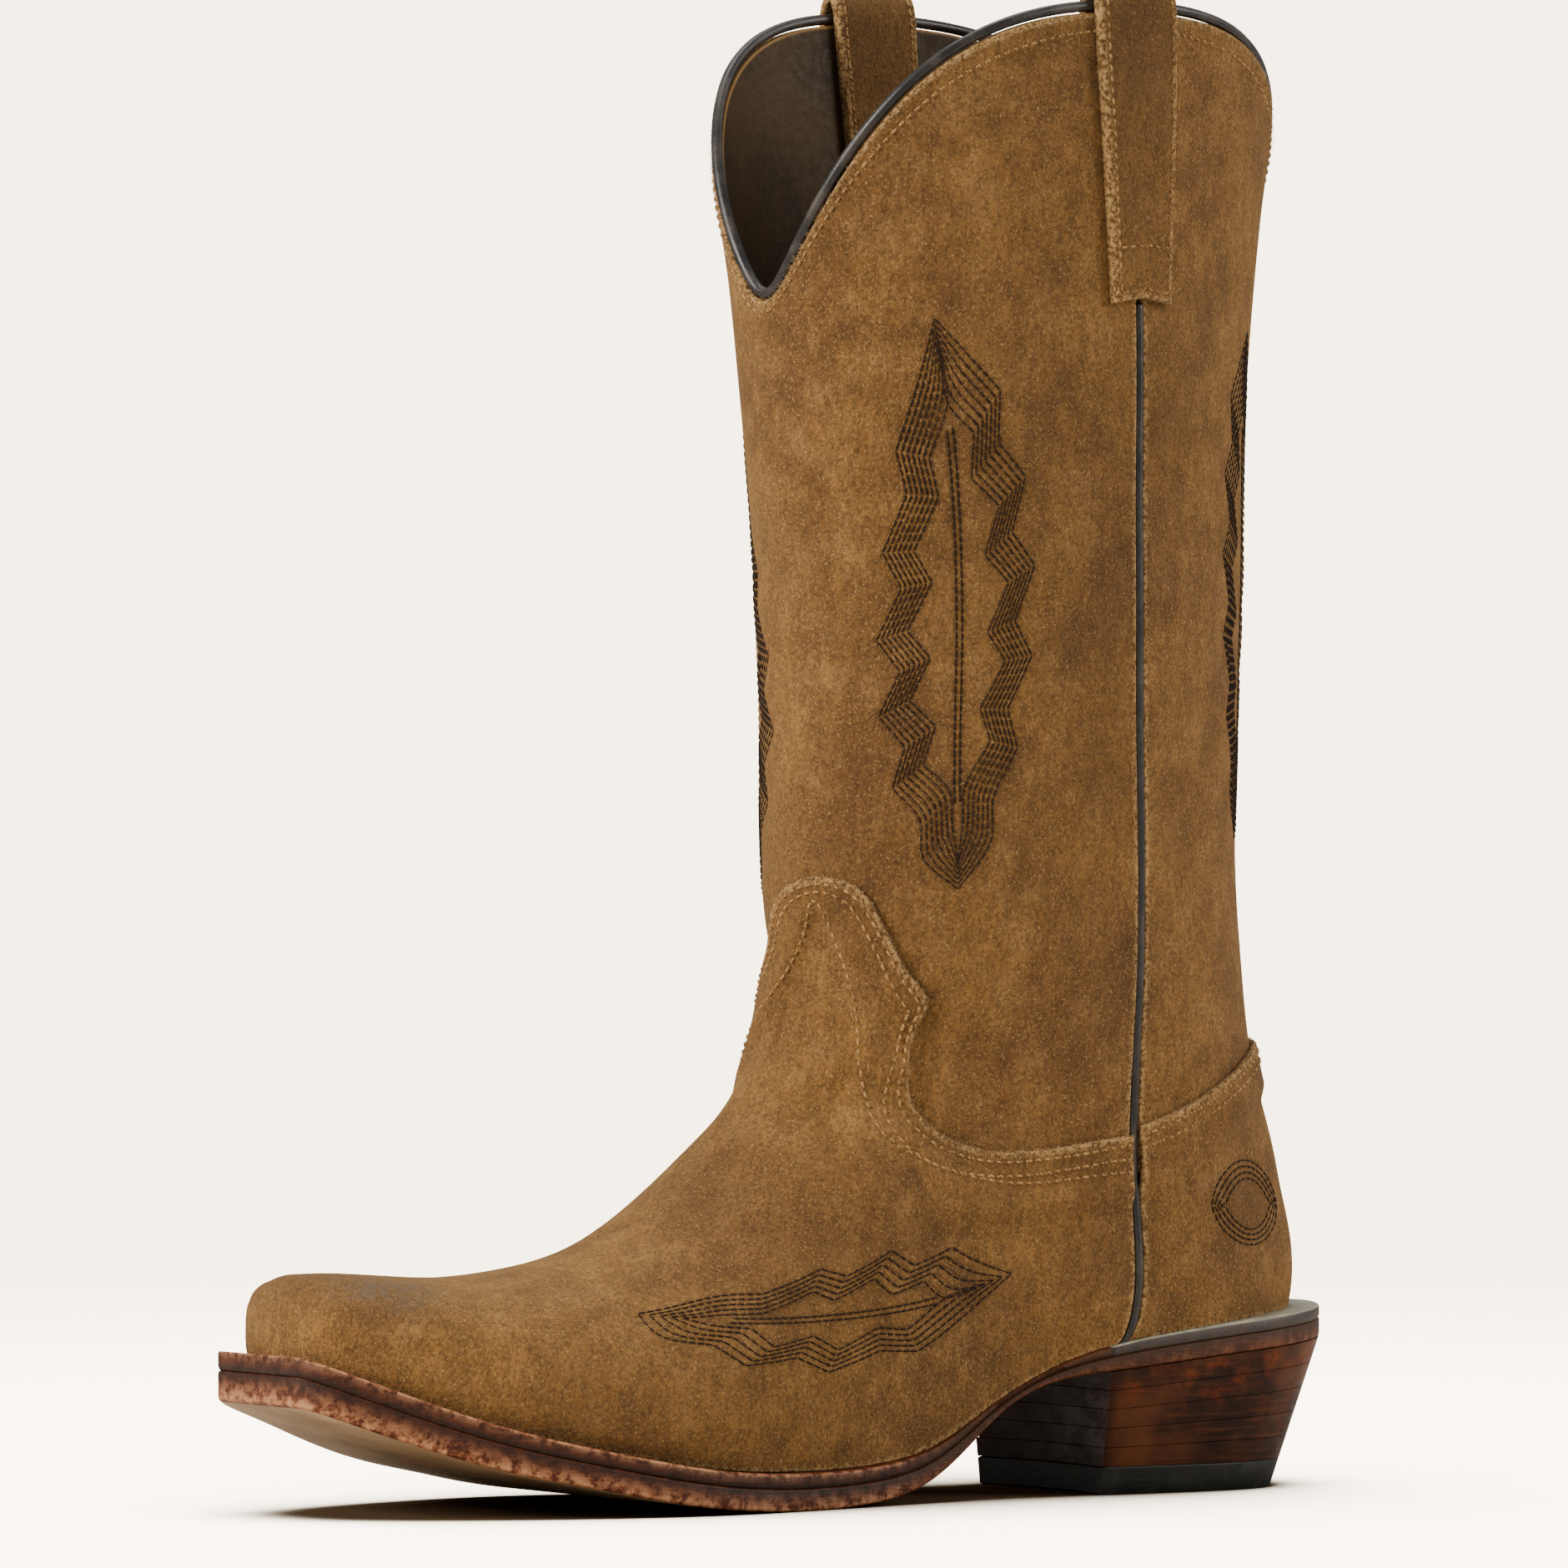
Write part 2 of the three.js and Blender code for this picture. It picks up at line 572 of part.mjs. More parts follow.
// One layer of the heel. Its outline shrinks and its back edge runs forward towards the floor.
function heelLayer(bottom, top) {
  const yBack = BACK_END;
  return mapped(4, 7, 1, (u, v, w) => {
    const q = Math.sin((Math.PI * v) / 2);
    const plan = lerp(BREAST, yBack, q);
    const x = 2 * u - 1;
    const z = w ? top(plan) : bottom(plan);
    const low = 1 - Math.min(z / seat(plan), 1);
    const hollow = HEEL_CONCAVE * (1 - x * x) * (1 - q);
    const y = plan + hollow - HEEL_RAKE * low * q;
    const half = soleHalf(plan, x < 0 ? -1 : 1) * lerp(0.99, HEEL_SCALE, low);
    return new THREE.Vector3(x * half, y, z);
  });
}
const heelLift = (k) => heelLayer(
  (y) => stackTop(k - 1)(y) + GAP,
  (y) => stackTop(k)(y),
);
const topLift = () => heelLayer(() => 0, () => TOP_LIFT);

// A nail standing on z, head up or down, and the hole it needs.
function nail(x, y, zHead, zTip, grow = 0) {
  const up = Math.sign(zHead - zTip);
  const outline = [
    [0, zTip - up * grow],
    [0.5 + grow, zTip - up * grow],
    [NAIL_R + grow, zTip + up * (2 - grow)],
    [NAIL_R + grow, zHead - up * (0.8 + grow)],
    [HEAD_R + grow, zHead - up * (0.8 + grow)],
    [HEAD_R + grow, zHead + up * grow * 8],
    [0, zHead + up * grow * 8],
  ].map(([r, z]) => new THREE.Vector2(r, z));
  if (up < 0) outline.reverse();
  const lathe = new THREE.LatheGeometry(outline, 6);
  lathe.deleteAttribute("normal");
  lathe.deleteAttribute("uv");
  const turned = mergeVertices(lathe, 1e-4);
  turned.rotateX(Math.PI / 2);
  return turned.translate(x, y, 0);
}

// ---- assembly -----------------------------------------------------------------------------
const heelNailPlaces = [[-14, 92], [14, 92], [-14, 112], [14, 112], [0, 125]];
const liftNailPlaces = [[-18, 88], [18, 88], [-18, 105], [18, 105], [-9, 122], [9, 122]];
const heelNail = ([x, y], grow = 0) => nail(x, y, feather(y) + 2.3, 14, grow);
const liftNail = ([x, y], grow = 0) => nail(x, y, 0.15, 11.4, grow);
const heelHoles = heelNailPlaces.map((place) => heelNail(place, GAP));
const liftHoles = liftNailPlaces.map((place) => liftNail(place, GAP));

const colours = {
  suede: [0x8b6a3e, 0.95],
  lining: [0x3a3225, 0.8],
  dark: [0x2b2622, 0.45],
  edge: [0x7b4a2b, 0.6],
  sole: [0x9c7448, 0.6],
  stack: [0x4a2a1c, 0.5],
  rand: [0x4d4638, 0.55],
  rubber: [0x1e1f1b, 0.8],
  board: [0xb08a5a, 0.9],
  foam: [0x6b5b45, 0.9],
  cork: [0x9a7a4e, 0.95],
  stiff: [0xc9bda4, 0.85],
  steel: [0x8c9094, 0.4, 0.9],
  brass: [0xb08d4a, 0.35, 0.9],
};

const pieces = [
  ["vamp", vamp(), "suede"],
  ["counter_cover", counterCover(), "suede"],
  ["shaft_front", shaftFront(), "suede"],
  ["shaft_back", shaftBack(), "suede"],
  ["shaft_lining_front", shaftLiningFront(), "lining"],
  ["shaft_lining_back", shaftLiningBack(), "lining"],
  ["vamp_lining", vampLining(), "lining"],
  ["toe_box", toeBox(), "stiff"],
  ["counter_stiffener", counterStiffener(), "stiff"],
  ["piping_lateral", piping(1), "dark"],
  ["piping_medial", piping(-1), "dark"],
  ["topline_bead_front", toplineBead(FRONT_COLUMNS, clearFront(frontAt(1))), "dark"],
  ["topline_bead_back", toplineBead(BACK_COLUMNS, clearBack(backAt(1))), "dark"],
  ["pull_strap_lateral", pullStrap(1), "suede"],
  ["pull_strap_medial", pullStrap(-1), "suede"],
  ["insole", cut(insole(), heelHoles), "board"],
  ["footbed", footbed(), "foam"],
  ["cork_filler", corkFiller(), "cork"],
  ["shank", shank(), "steel"],
  ["welt", welt(), "edge"],
  ["heel_rand", heelRand(), "rand"],
  ["outsole", cut(outsole(), heelHoles), "sole"],
  ["top_lift", cut(topLift(), liftHoles), "rubber"],
];
for (let k = 1; k <= LIFTS; k++) {
  const holes = k === 1 ? liftHoles : heelHoles;
  pieces.push([`heel_lift_${k}`, cut(heelLift(k), holes), "stack"]);
}
heelNailPlaces.forEach((place, i) => pieces.push([`heel_nail_${i + 1}`, heelNail(place), "steel"]));
liftNailPlaces.forEach((place, i) => pieces.push([`lift_nail_${i + 1}`, liftNail(place), "brass"]));

function finish(geometry) {
  const closed = mergeVertices(geometry, 1e-4);
  const pos = closed.attributes.position;
  const v = new THREE.Vector3();
  for (let i = 0; i < pos.count; i++) {
    swing(v.fromBufferAttribute(pos, i));
    pos.setXYZ(i, v.x, v.y, v.z);
  }
  closed.computeVertexNormals();
  return closed;
}

const boot = new THREE.Group();
boot.name = "cowboy_boot";
for (const [name, geometry, colour] of pieces) {
  const [color, roughness, metalness = 0] = colours[colour];
  const mesh = new THREE.Mesh(finish(geometry), new THREE.MeshStandardMaterial({ color, roughness, metalness }));
  mesh.name = name;
  boot.add(mesh);
}

// Stand the boot on z = 0 with its box centred over the origin.
const box = new THREE.Box3().setFromObject(boot);
const middle = box.getCenter(new THREE.Vector3());
for (const mesh of boot.children) mesh.geometry.translate(-middle.x, -middle.y, -box.min.z);

export default boot;
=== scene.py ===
"""Cowboy boot in roughout suede, built over its fixed CAD frame.

Shapes are worked out in millimetres on the last, the solid foot and leg that the boot is made round, and
placed in the frame in metres. A place on the upper is (a, t): |a| is 0 down the front, 0.5 at the side
seam and 1 down the back, positive on the outer side, and t runs from the sole (0) to the topline (1)."""

import math

import bpy
import numpy as np
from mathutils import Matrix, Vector
from mathutils.bvhtree import BVHTree


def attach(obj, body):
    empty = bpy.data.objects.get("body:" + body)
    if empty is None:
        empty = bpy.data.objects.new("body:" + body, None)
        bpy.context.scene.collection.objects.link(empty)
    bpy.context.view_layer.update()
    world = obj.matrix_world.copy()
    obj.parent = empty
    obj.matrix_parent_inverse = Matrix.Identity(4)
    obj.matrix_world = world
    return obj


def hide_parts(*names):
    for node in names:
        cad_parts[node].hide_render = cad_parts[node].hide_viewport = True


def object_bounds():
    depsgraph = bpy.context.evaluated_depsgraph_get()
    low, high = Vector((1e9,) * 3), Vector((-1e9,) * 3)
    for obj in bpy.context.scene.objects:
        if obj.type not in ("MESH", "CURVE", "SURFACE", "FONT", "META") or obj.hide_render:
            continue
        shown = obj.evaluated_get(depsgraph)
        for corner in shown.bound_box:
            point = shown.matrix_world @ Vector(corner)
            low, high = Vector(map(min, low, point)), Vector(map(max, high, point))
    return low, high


bl_info = {
    "name": "Cowboy boot",
    "version": (1, 0, 0),
    "blender": (4, 5, 0),
    "location": "View3D > Sidebar > Boot",
    "description": "Builds the suede cowboy boot piece by piece over its CAD frame",
    "category": "Add Mesh",
}

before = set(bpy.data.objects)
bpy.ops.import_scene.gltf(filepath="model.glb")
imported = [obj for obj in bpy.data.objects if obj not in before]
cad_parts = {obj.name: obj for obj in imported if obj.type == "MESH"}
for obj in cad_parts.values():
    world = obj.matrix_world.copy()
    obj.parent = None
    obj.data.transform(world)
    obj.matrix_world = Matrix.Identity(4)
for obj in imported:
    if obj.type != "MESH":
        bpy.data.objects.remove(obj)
CAD_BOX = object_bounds()
SHIFT = np.array([0.02, CAD_BOX[0].y * 1000 + 147.5, 0.0])


# ---- the last ------------------------------------------------------------------------------------
def spline(points):
    """Natural cubic through (x, y) points, straight beyond its ends."""
    x, y = (np.array(c, float) for c in zip(*points))
    n, h = len(x), np.diff(x)
    rows, rhs = np.eye(n), np.zeros(n)
    for i in range(1, n - 1):
        rows[i, i - 1 : i + 2] = h[i - 1], 2 * (h[i - 1] + h[i]), h[i]
        rhs[i] = 6 * ((y[i + 1] - y[i]) / h[i] - (y[i] - y[i - 1]) / h[i - 1])
    bend = np.linalg.solve(rows, rhs)
    first = (y[1] - y[0]) / h[0] - h[0] * bend[1] / 6
    last = (y[-1] - y[-2]) / h[-1] + h[-1] * bend[-2] / 6

    def at(v):
        v = np.asarray(v, float)
        c = np.clip(v, x[0], x[-1])
        i = np.clip(np.searchsorted(x, c) - 1, 0, n - 2)
        a = (x[i + 1] - c) / h[i]
        b = 1 - a
        curve = a * y[i] + b * y[i + 1] + ((a**3 - a) * bend[i] + (b**3 - b) * bend[i + 1]) * h[i] ** 2 / 6
        return curve + np.minimum(v - x[0], 0) * first + np.maximum(v - x[-1], 0) * last

    return at


feather = spline([
    (-150, 41), (-130, 33), (-105, 23.5), (-75, 15.8), (-45, 10.7), (-15, 9.3), (10, 10.8),
    (24, 14.5), (40, 23.5), (54, 30.5), (70, 36), (100, 41), (147, 45.5),
])
ridge = spline([
    (-150, 57), (-125, 57), (-100, 55.5), (-75, 57.5), (-50, 65), (-25, 84), (0, 107), (40, 120),
    (80, 110), (115, 92),
])
foot_outer = spline([
    (-150, 19), (-125, 27), (-100, 36), (-75, 43), (-55, 45.5), (-30, 43), (0, 37.5), (30, 34),
    (60, 33), (100, 30),
])
foot_inner = spline([
    (-150, 17), (-125, 24.5), (-100, 33), (-75, 40), (-55, 42), (-30, 39), (0, 34), (30, 31.5),
    (60, 32), (100, 30),
])
arch_power = spline([(-150, 4.5), (-125, 3.4), (-100, 2.6), (-70, 2.1), (-40, 1.9), (0, 1.9), (100, 2)])
leg_front = spline([
    (30, 40), (60, 25), (90, 12), (120, 2), (150, -3.5), (200, -3.5), (260, -7.5), (300, -12.5),
    (340, -20), (370, -25),
])
leg_back = spline([
    (30, 140), (45, 142.5), (65, 143), (85, 140.5), (105, 135.5), (130, 133), (155, 131.5), (200, 131.5),
    (250, 132), (300, 135), (340, 142), (370, 148),
])
leg_half = spline([
    (30, 30), (60, 31.5), (90, 33), (120, 36), (150, 39), (200, 43), (260, 45.5), (310, 47), (370, 49),
])
seam_y = spline([
    (38, 78), (50, 81), (72, 83), (93, 81), (125, 78), (175, 72.5), (245, 68.5), (300, 67), (370, 63),
])
sole_outer = spline([
    (-147.5, 19), (-145, 22), (-136, 27), (-120, 33.5), (-98, 42), (-75, 48.5), (-55, 51), (-30, 48),
    (0, 40), (30, 33.7), (60, 32.7), (90, 34.7), (112, 34.6),
])
sole_inner = spline([
    (-147.5, 19), (-145, 22), (-136, 25.5), (-120, 30.5), (-98, 38.5), (-75, 45), (-55, 47.5), (-30, 43),
    (0, 34.5), (30, 29.7), (60, 30.2), (90, 33.7), (112, 34.1),
])
sole_under = spline([
    (-151, 29), (-130, 21), (-110, 14), (-95, 10), (-80, 7), (-65, 4), (-50, 1.8), (-35, 0.5), (-20, 0),
    (0, 0.8), (12, 2.5), (22, 6), (32, 12.5), (42, 20.5), (52, 26.3), (62, 29.3), (75, 31), (110, 34.5),
    (153, 38),
])
TOE_Y = -142.5
TOE_TIP = -147.5
HEEL_TIP = 153.0
BREAST = 75.0


def ease(v):
    v = np.clip(v, 0, 1)
    return v * v * (3 - 2 * v)


def lerp(a, b, f):
    return a + (b - a) * f


def foot(y, z, side):
    """Half width squared of the foot part; side is 1 outer, -1 inner."""
    w = lerp(foot_inner(y), foot_outer(y), (1 + side) / 2)
    h = (z - feather(y)) / (ridge(y) - feather(y))
    up = np.maximum((h - 0.28) / 0.72, 0)
    low = np.maximum((0.28 - h) / 0.28, 0)
    toe = np.maximum((TOE_Y + 12 - y) / 12, 0)
    heel = np.maximum((y - 70) / 50, 0)
    return w * w * ((1 - up ** arch_power(y)) * (1 - 0.09 * low * low) ** 2 - toe**4 - heel * heel)


def leg(y, z):
    front, back = leg_front(z), leg_back(z)
    e = np.abs((2 * y - front - back) / (back - front))
    return leg_half(z) ** 2 * (1 - e**2.15)


def half2(y, z, side):
    """Foot and leg joined with a soft throat."""
    a, b = foot(y, z, side), leg(y, z)
    m = np.maximum(a, b)
    k = 1500 / (1 + (np.maximum(m, 0) / 500) ** 2)
    h = np.maximum(k - np.abs(a - b), 0) / k
    return m + h * h * k / 4


def placed(p):
    """Points on the last put in the frame: the shaft swings out, the toe turns in, millimetres to metres."""
    x, y, z = p[..., 0], p[..., 1], p[..., 2]
    turn = np.radians(9) * ease((z - 60) / 110) * ease((y + 60) / 60)
    flare = np.maximum((20 - y) / 170, 0)
    dy = y - 62
    out = np.stack([
        x * np.cos(turn) - dy * np.sin(turn) - 5 * flare * flare,
        x * np.sin(turn) + dy * np.cos(turn) + 62,
        z,
    ], -1)
    return (out + SHIFT) / 1000


def reach(y, z, angle, far):
    """Where lines from inside the last meet its side-view outline."""
    lo, hi = np.zeros_like(y), np.full_like(y, far)
    for _ in range(26):
        mid = (lo + hi) / 2
        inside = half2(y + mid * np.cos(angle), z + mid * np.sin(angle), 0) > 0
        lo, hi = np.where(inside, mid, lo), np.where(inside, hi, mid)
    return y + lo * np.cos(angle), z + lo * np.sin(angle)


# Guides for the front edge: t, y, z, angle.
GUIDES = [
    (0, -128, 38.3, 180), (0.02, -128, 45, 176), (0.045, -124, 46, 135), (0.07, -110, 42, 95),
    (0.12, -85, 38, 90), (0.17, -52, 42, 95), (0.22, -20, 60, 112), (0.26, 5, 86, 132),
    (0.3, 20, 112, 152), (0.36, 22, 140, 178), (0.45, 22, 162, 180), (1, 15, 296, 180),
]
ROWS, COLUMNS = 901, 480      # rows up the upper, columns in each half ring of the lattice


def make_lattice():
    """Rings round the last at every row: points for each side, measured evenly along each half ring,
    and the length of each half ring."""
    t = np.linspace(0, 1, ROWS)
    guide_y, guide_z, guide_angle = (spline([(g[0], g[k]) for g in GUIDES]) for k in (1, 2, 3))
    front = reach(guide_y(t), guide_z(t), np.radians(guide_angle(t)), 70.0)
    back = reach(np.full(ROWS, 100.0), 44 + 266 * t, np.zeros(ROWS), 80.0)
    seam_z = 38.5 + 329 * t
    q = np.linspace(0, 1, 129)
    flat = 1 - np.cos(q * np.pi / 2)
    scallop = (np.maximum((t - 0.55) / 0.45, 0) ** 2)[:, None]
    low = (np.maximum(1 - t / 0.3, 0) ** 2)[:, None]
    points, lengths = [], []
    for side in (1, -1):
        halves = []
        for at_back, (y0, z0) in enumerate((front, back)):
            wall = 0 if at_back else ease(t / 0.03)[:, None]
            y = y0[:, None] + (seam_y(seam_z) - y0)[:, None] * flat
            z = z0[:, None] + (seam_z - z0)[:, None] * lerp(flat, 1 - (1 - q) ** 2.4, scallop)
            z = lerp(z, feather(y), low * (1 - wall * (1 - q) ** 3))
            x = np.sqrt(np.maximum(half2(y, z, side), 0)) * (q > 0) * side
            ring = np.stack([x, y, z], -1)
            along = np.cumsum(np.linalg.norm(np.diff(ring, axis=1), axis=-1), 1)
            along = np.concatenate([np.zeros((ROWS, 1)), along], 1)
            lengths.append(along[:, -1])
            want = np.linspace(0, 1, COLUMNS + 1)
            even = np.empty((ROWS, COLUMNS + 1, 3))
            for i in range(ROWS):
                for c in range(3):
                    even[i, :, c] = np.interp(want * along[i, -1], along[i], ring[i, :, c])
            halves.append(even[:, ::-1][:, 1:] if at_back else even)
        points.append(np.concatenate(halves, 1))
    return np.stack(points), np.stack(lengths)


LATTICE, RING_LENGTHS = make_lattice()


def wrapped(a):
    return np.where(a > 1, a - 2, np.where(a < -1, a + 2, a))


def skin(a, t):
    """Points on the last at (a, t), in millimetres."""
    a, t = np.broadcast_arrays(wrapped(np.asarray(a, float)), np.asarray(t, float))
    side = (a < 0).astype(int)
    u = np.clip(np.abs(a), 0, 1) * 2 * COLUMNS
    v = np.clip(t, 0, 1) * (ROWS - 1)
    i = np.minimum(u.astype(int), 2 * COLUMNS - 1)
    j = np.minimum(v.astype(int), ROWS - 2)
    fu, fv = (u - i)[..., None], (v - j)[..., None]
    lower = lerp(LATTICE[side, j, i], LATTICE[side, j, i + 1], fu)
    upper = lerp(LATTICE[side, j + 1, i], LATTICE[side, j + 1, i + 1], fu)
    return lerp(lower, upper, fv)


def outward(p, side):
    e = 0.4
    gy = (half2(p[..., 1] + e, p[..., 2], side) - half2(p[..., 1] - e, p[..., 2], side)) / (2 * e)
    gz = (half2(p[..., 1], p[..., 2] + e, side) - half2(p[..., 1], p[..., 2] - e, side)) / (2 * e)
    n = np.stack([2 * p[..., 0], -gy, -gz], -1)
    return n / np.maximum(np.linalg.norm(n, axis=-1, keepdims=True), 1e-9)


def normal(a, t):
    """Outward direction of the last; level at the feather line."""
    a, t = np.broadcast_arrays(np.asarray(a, float), np.asarray(t, float))
    n = outward(skin(a, t), np.where(wrapped(a) < 0, -1, 1))
    level = ease(1 - t / 0.04)
    n[..., 2] *= 1 - level
    return n / np.maximum(np.linalg.norm(n, axis=-1, keepdims=True), 1e-9)


def waves(a, t):
    """Slight unevenness of a worn shaft, in millimetres, the same for all its layers."""
    swell = np.sin(a * 11 + t * 9) * np.sin(a * 5 - t * 21) + 0.6 * np.sin(a * 23 + 3) * np.sin(t * 17 + a * 7)
    folds = np.exp(-(((t - 0.335) / 0.028) ** 2)) * np.cos(a * np.pi) ** 2 * np.where(np.abs(a) < 0.5, 1, 0)
    return 0.32 * swell * ease((t - 0.42) / 0.2) * ease((1 - t) / 0.08) - 0.5 * folds


def over(a, t, d):
    """Points held d millimetres outside the last."""
    a, t = np.broadcast_arrays(np.asarray(a, float), np.asarray(t, float))
    return skin(a, t) + normal(a, t) * (d + waves(wrapped(a), t))[..., None]


def ring_scale(side, at_back, t):
    """Millimetres along the ring for a unit of a."""
    row = {(1, 0): 0, (1, 1): 1, (-1, 0): 2, (-1, 1): 3}[(side, at_back)]
    return np.interp(t, np.linspace(0, 1, ROWS), RING_LENGTHS[row]) * 2


# ---- pattern lines on the upper -------------------------------------------------------------------
def centripetal(points, steps=60):
    """Smooth curve through points, without overshoot at close ones."""
    p = np.array(points, float)
    p = np.vstack([2 * p[0] - p[1], p, 2 * p[-1] - p[-2]])
    s = np.linspace(0, 1, steps, endpoint=False)[:, None]
    out = []
    for p0, p1, p2, p3 in zip(p, p[1:], p[2:], p[3:]):
        d0, d1, d2 = (np.sqrt(np.linalg.norm(b - a)) for a, b in ((p0, p1), (p1, p2), (p2, p3)))
        m1 = ((p1 - p0) / d0 - (p2 - p0) / (d0 + d1) + (p2 - p1) / d1) * d1
        m2 = ((p2 - p1) / d1 - (p3 - p1) / (d1 + d2) + (p3 - p2) / d2) * d1
        out.append((2 * s**3 - 3 * s**2 + 1) * p1 + (s**3 - 2 * s**2 + s) * m1
                   + (3 * s**2 - 2 * s**3) * p2 + (s**3 - s**2) * m2)
    return np.vstack([*out, p[-2:-1]])


MM = np.array([190.0, 290.0])          # rough millimetres for a unit of a and of t over the instep
VAMP_EDGE = [
    (0.045, 0.416), (0.084, 0.406), (0.112, 0.384), (0.128, 0.352), (0.15, 0.315), (0.172, 0.287),
    (0.188, 0.263), (0.213, 0.2455), (0.253, 0.231), (0.298, 0.216), (0.355, 0.2), (0.414, 0.191),
    (0.4625, 0.1875), (0.5, 0.184),
]


def mirrored(a, t):
    """The same place on the other side; the pattern's middle leans outward over the instep."""
    return -(a - 0.09 * ease((t - 0.22) / 0.12)), t


def along(points, u):
    """Places and unit directions at fractions u of a polyline's length."""
    d = np.linalg.norm(np.diff(points, axis=0), axis=1)
    s = np.concatenate([[0], np.cumsum(d)]) / d.sum()
    at = np.stack([np.interp(u, s, points[:, k]) for k in (0, 1)], -1)
    ahead = np.stack([np.interp(np.minimum(u + 0.002, 1), s, points[:, k]) for k in (0, 1)], -1)
    behind = np.stack([np.interp(np.maximum(u - 0.002, 0), s, points[:, k]) for k in (0, 1)], -1)
    way = ahead - behind
    return at, way / np.linalg.norm(way, axis=-1, keepdims=True)


VAMP_EAR = [
    (0.045, 0.416), (0.084, 0.407), (0.11, 0.388), (0.124, 0.366), (0.14, 0.339), (0.158, 0.315),
    (0.1925, 0.29), (0.186, 0.276), (0.188, 0.2605), (0.213, 0.2455), (0.25, 0.231), (0.296, 0.2155),
    (0.355, 0.2), (0.414, 0.191), (0.4625, 0.1875), (0.5, 0.184),
]


def both_sides(points):
    """The line over the whole front, from the inner seam to the outer one, in millimetres."""
    return centripetal([np.array(mirrored(a, t)) * MM for a, t in reversed(points[1:])]
                       + [np.array(p) * MM for p in points])


VAMP_LINE, EAR_LINE = both_sides(VAMP_EDGE), both_sides(VAMP_EAR)


def vamp_top(inset, points=VAMP_LINE):
    """Top edge of the vamp, moved into it by some millimetres, with both ends kept on the seams."""
    def line(u):
        p, way = along(points, u)
        a = (p[:, 0] + way[:, 1] * inset) / MM[0]
        t = (p[:, 1] - way[:, 0] * inset) / MM[1]
        first, last = a[np.argmin(u)], a[np.argmax(u)]
        return a + (0.5 - last) * ease((u - 0.8) / 0.2) - (0.5 + first) * ease((0.2 - u) / 0.2), t
    return line


counter_edge = spline([(0.5, 0.189), (0.585, 0.2), (0.673, 0.215), (0.764, 0.2325), (0.86, 0.25), (1, 0.262)])


def counter_top(inset):
    def line(u):
        a = 0.5 + u
        return a, counter_edge(np.where(a > 1, 2 - a, a)) - inset / 310
    return line


def front_at(t):
    return lambda u: (u - 0.5, np.full_like(u, t))


def back_at(t):
    return lambda u: (0.5 + u, np.full_like(u, t))


def toe_line(u):
    crowd = 0.5 * np.sign(u - 0.5) * np.abs(2 * u - 1) ** 1.3
    return crowd, np.zeros_like(u)


def cleared(line, at_back, room):
    """Keeps a panel's side edges off the piping in the seams by some millimetres."""
    def kept(u):
        a, t = line(u)
        share = 2 * room / ring_scale(1, int(at_back), t)
        return (1 + (a - 1) * (1 - share), t) if at_back else (a * (1 - share), t)
    return kept


# ---- meshes ---------------------------------------------------------------------------------------
def grid_faces(rows, columns, start=0, flip=False):
    """Quads of a grid of points stored row by row."""
    i, j = np.meshgrid(np.arange(rows - 1), np.arange(columns - 1), indexing="ij")
    a = (start + i * columns + j).ravel()
    quad = np.stack([a, a + 1, a + 1 + columns, a + columns], -1)
    return (quad[:, ::-1] if flip else quad).tolist()


def tube_faces(rings, sides, start=0, closed_end=True):
    """Quads of rings of points joined one after another, with a fan at each end."""
    faces = []
    for i in range(rings - 1):
        for j in range(sides):
            k = (j + 1) % sides
            faces.append([start + i * sides + j, start + i * sides + k,
                          start + (i + 1) * sides + k, start + (i + 1) * sides + j])
    if closed_end:
        faces.append(list(range(start + sides - 1, start - 1, -1)))
        last = start + (rings - 1) * sides
        faces.append(list(range(last, last + sides)))
    return faces


def piece(name, points, faces, materials, slot, nodes, values=None, slots=None, smooth=True):
    """A finished piece from points in metres: its mesh, materials and values stored on its points."""
    mesh = bpy.data.meshes.new(name)
    mesh.from_pydata(np.asarray(points).reshape(-1, 3).tolist(), [], faces)
    mesh.validate()
    for m in materials if isinstance(materials, (list, tuple)) else [materials]:
        mesh.materials.append(m)
    for key, data in (values or {}).items():
        mesh.attributes.new(key, "FLOAT", "POINT").data.foreach_set("value", np.asarray(data, np.float32).ravel())
    if slots is not None:
        mesh.polygons.foreach_set("material_index", np.asarray(slots, np.int32))
    mesh.polygons.foreach_set("use_smooth", np.full(len(mesh.polygons), smooth))
    mesh.update()
    obj = bpy.data.objects.new(name, mesh)
    bpy.context.scene.collection.objects.link(obj)
    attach(obj, "root")
    if nodes:
        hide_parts(*([nodes] if isinstance(nodes, str) else nodes))
    return obj


def steps(length, pitch, fine=(0, 0.1, 0.3, 0.6, 1.0)):
    """Even steps along a length in millimetres, with finer ones at both ends, as fractions."""
    n = 2 * max(int(length / pitch / 2), 2)
    ends = np.array(fine) / length
    body = np.linspace(ends[-1], 1 - ends[-1], n + 1)
    return np.concatenate([ends[:-1], body, 1 - ends[:-1][::-1]])


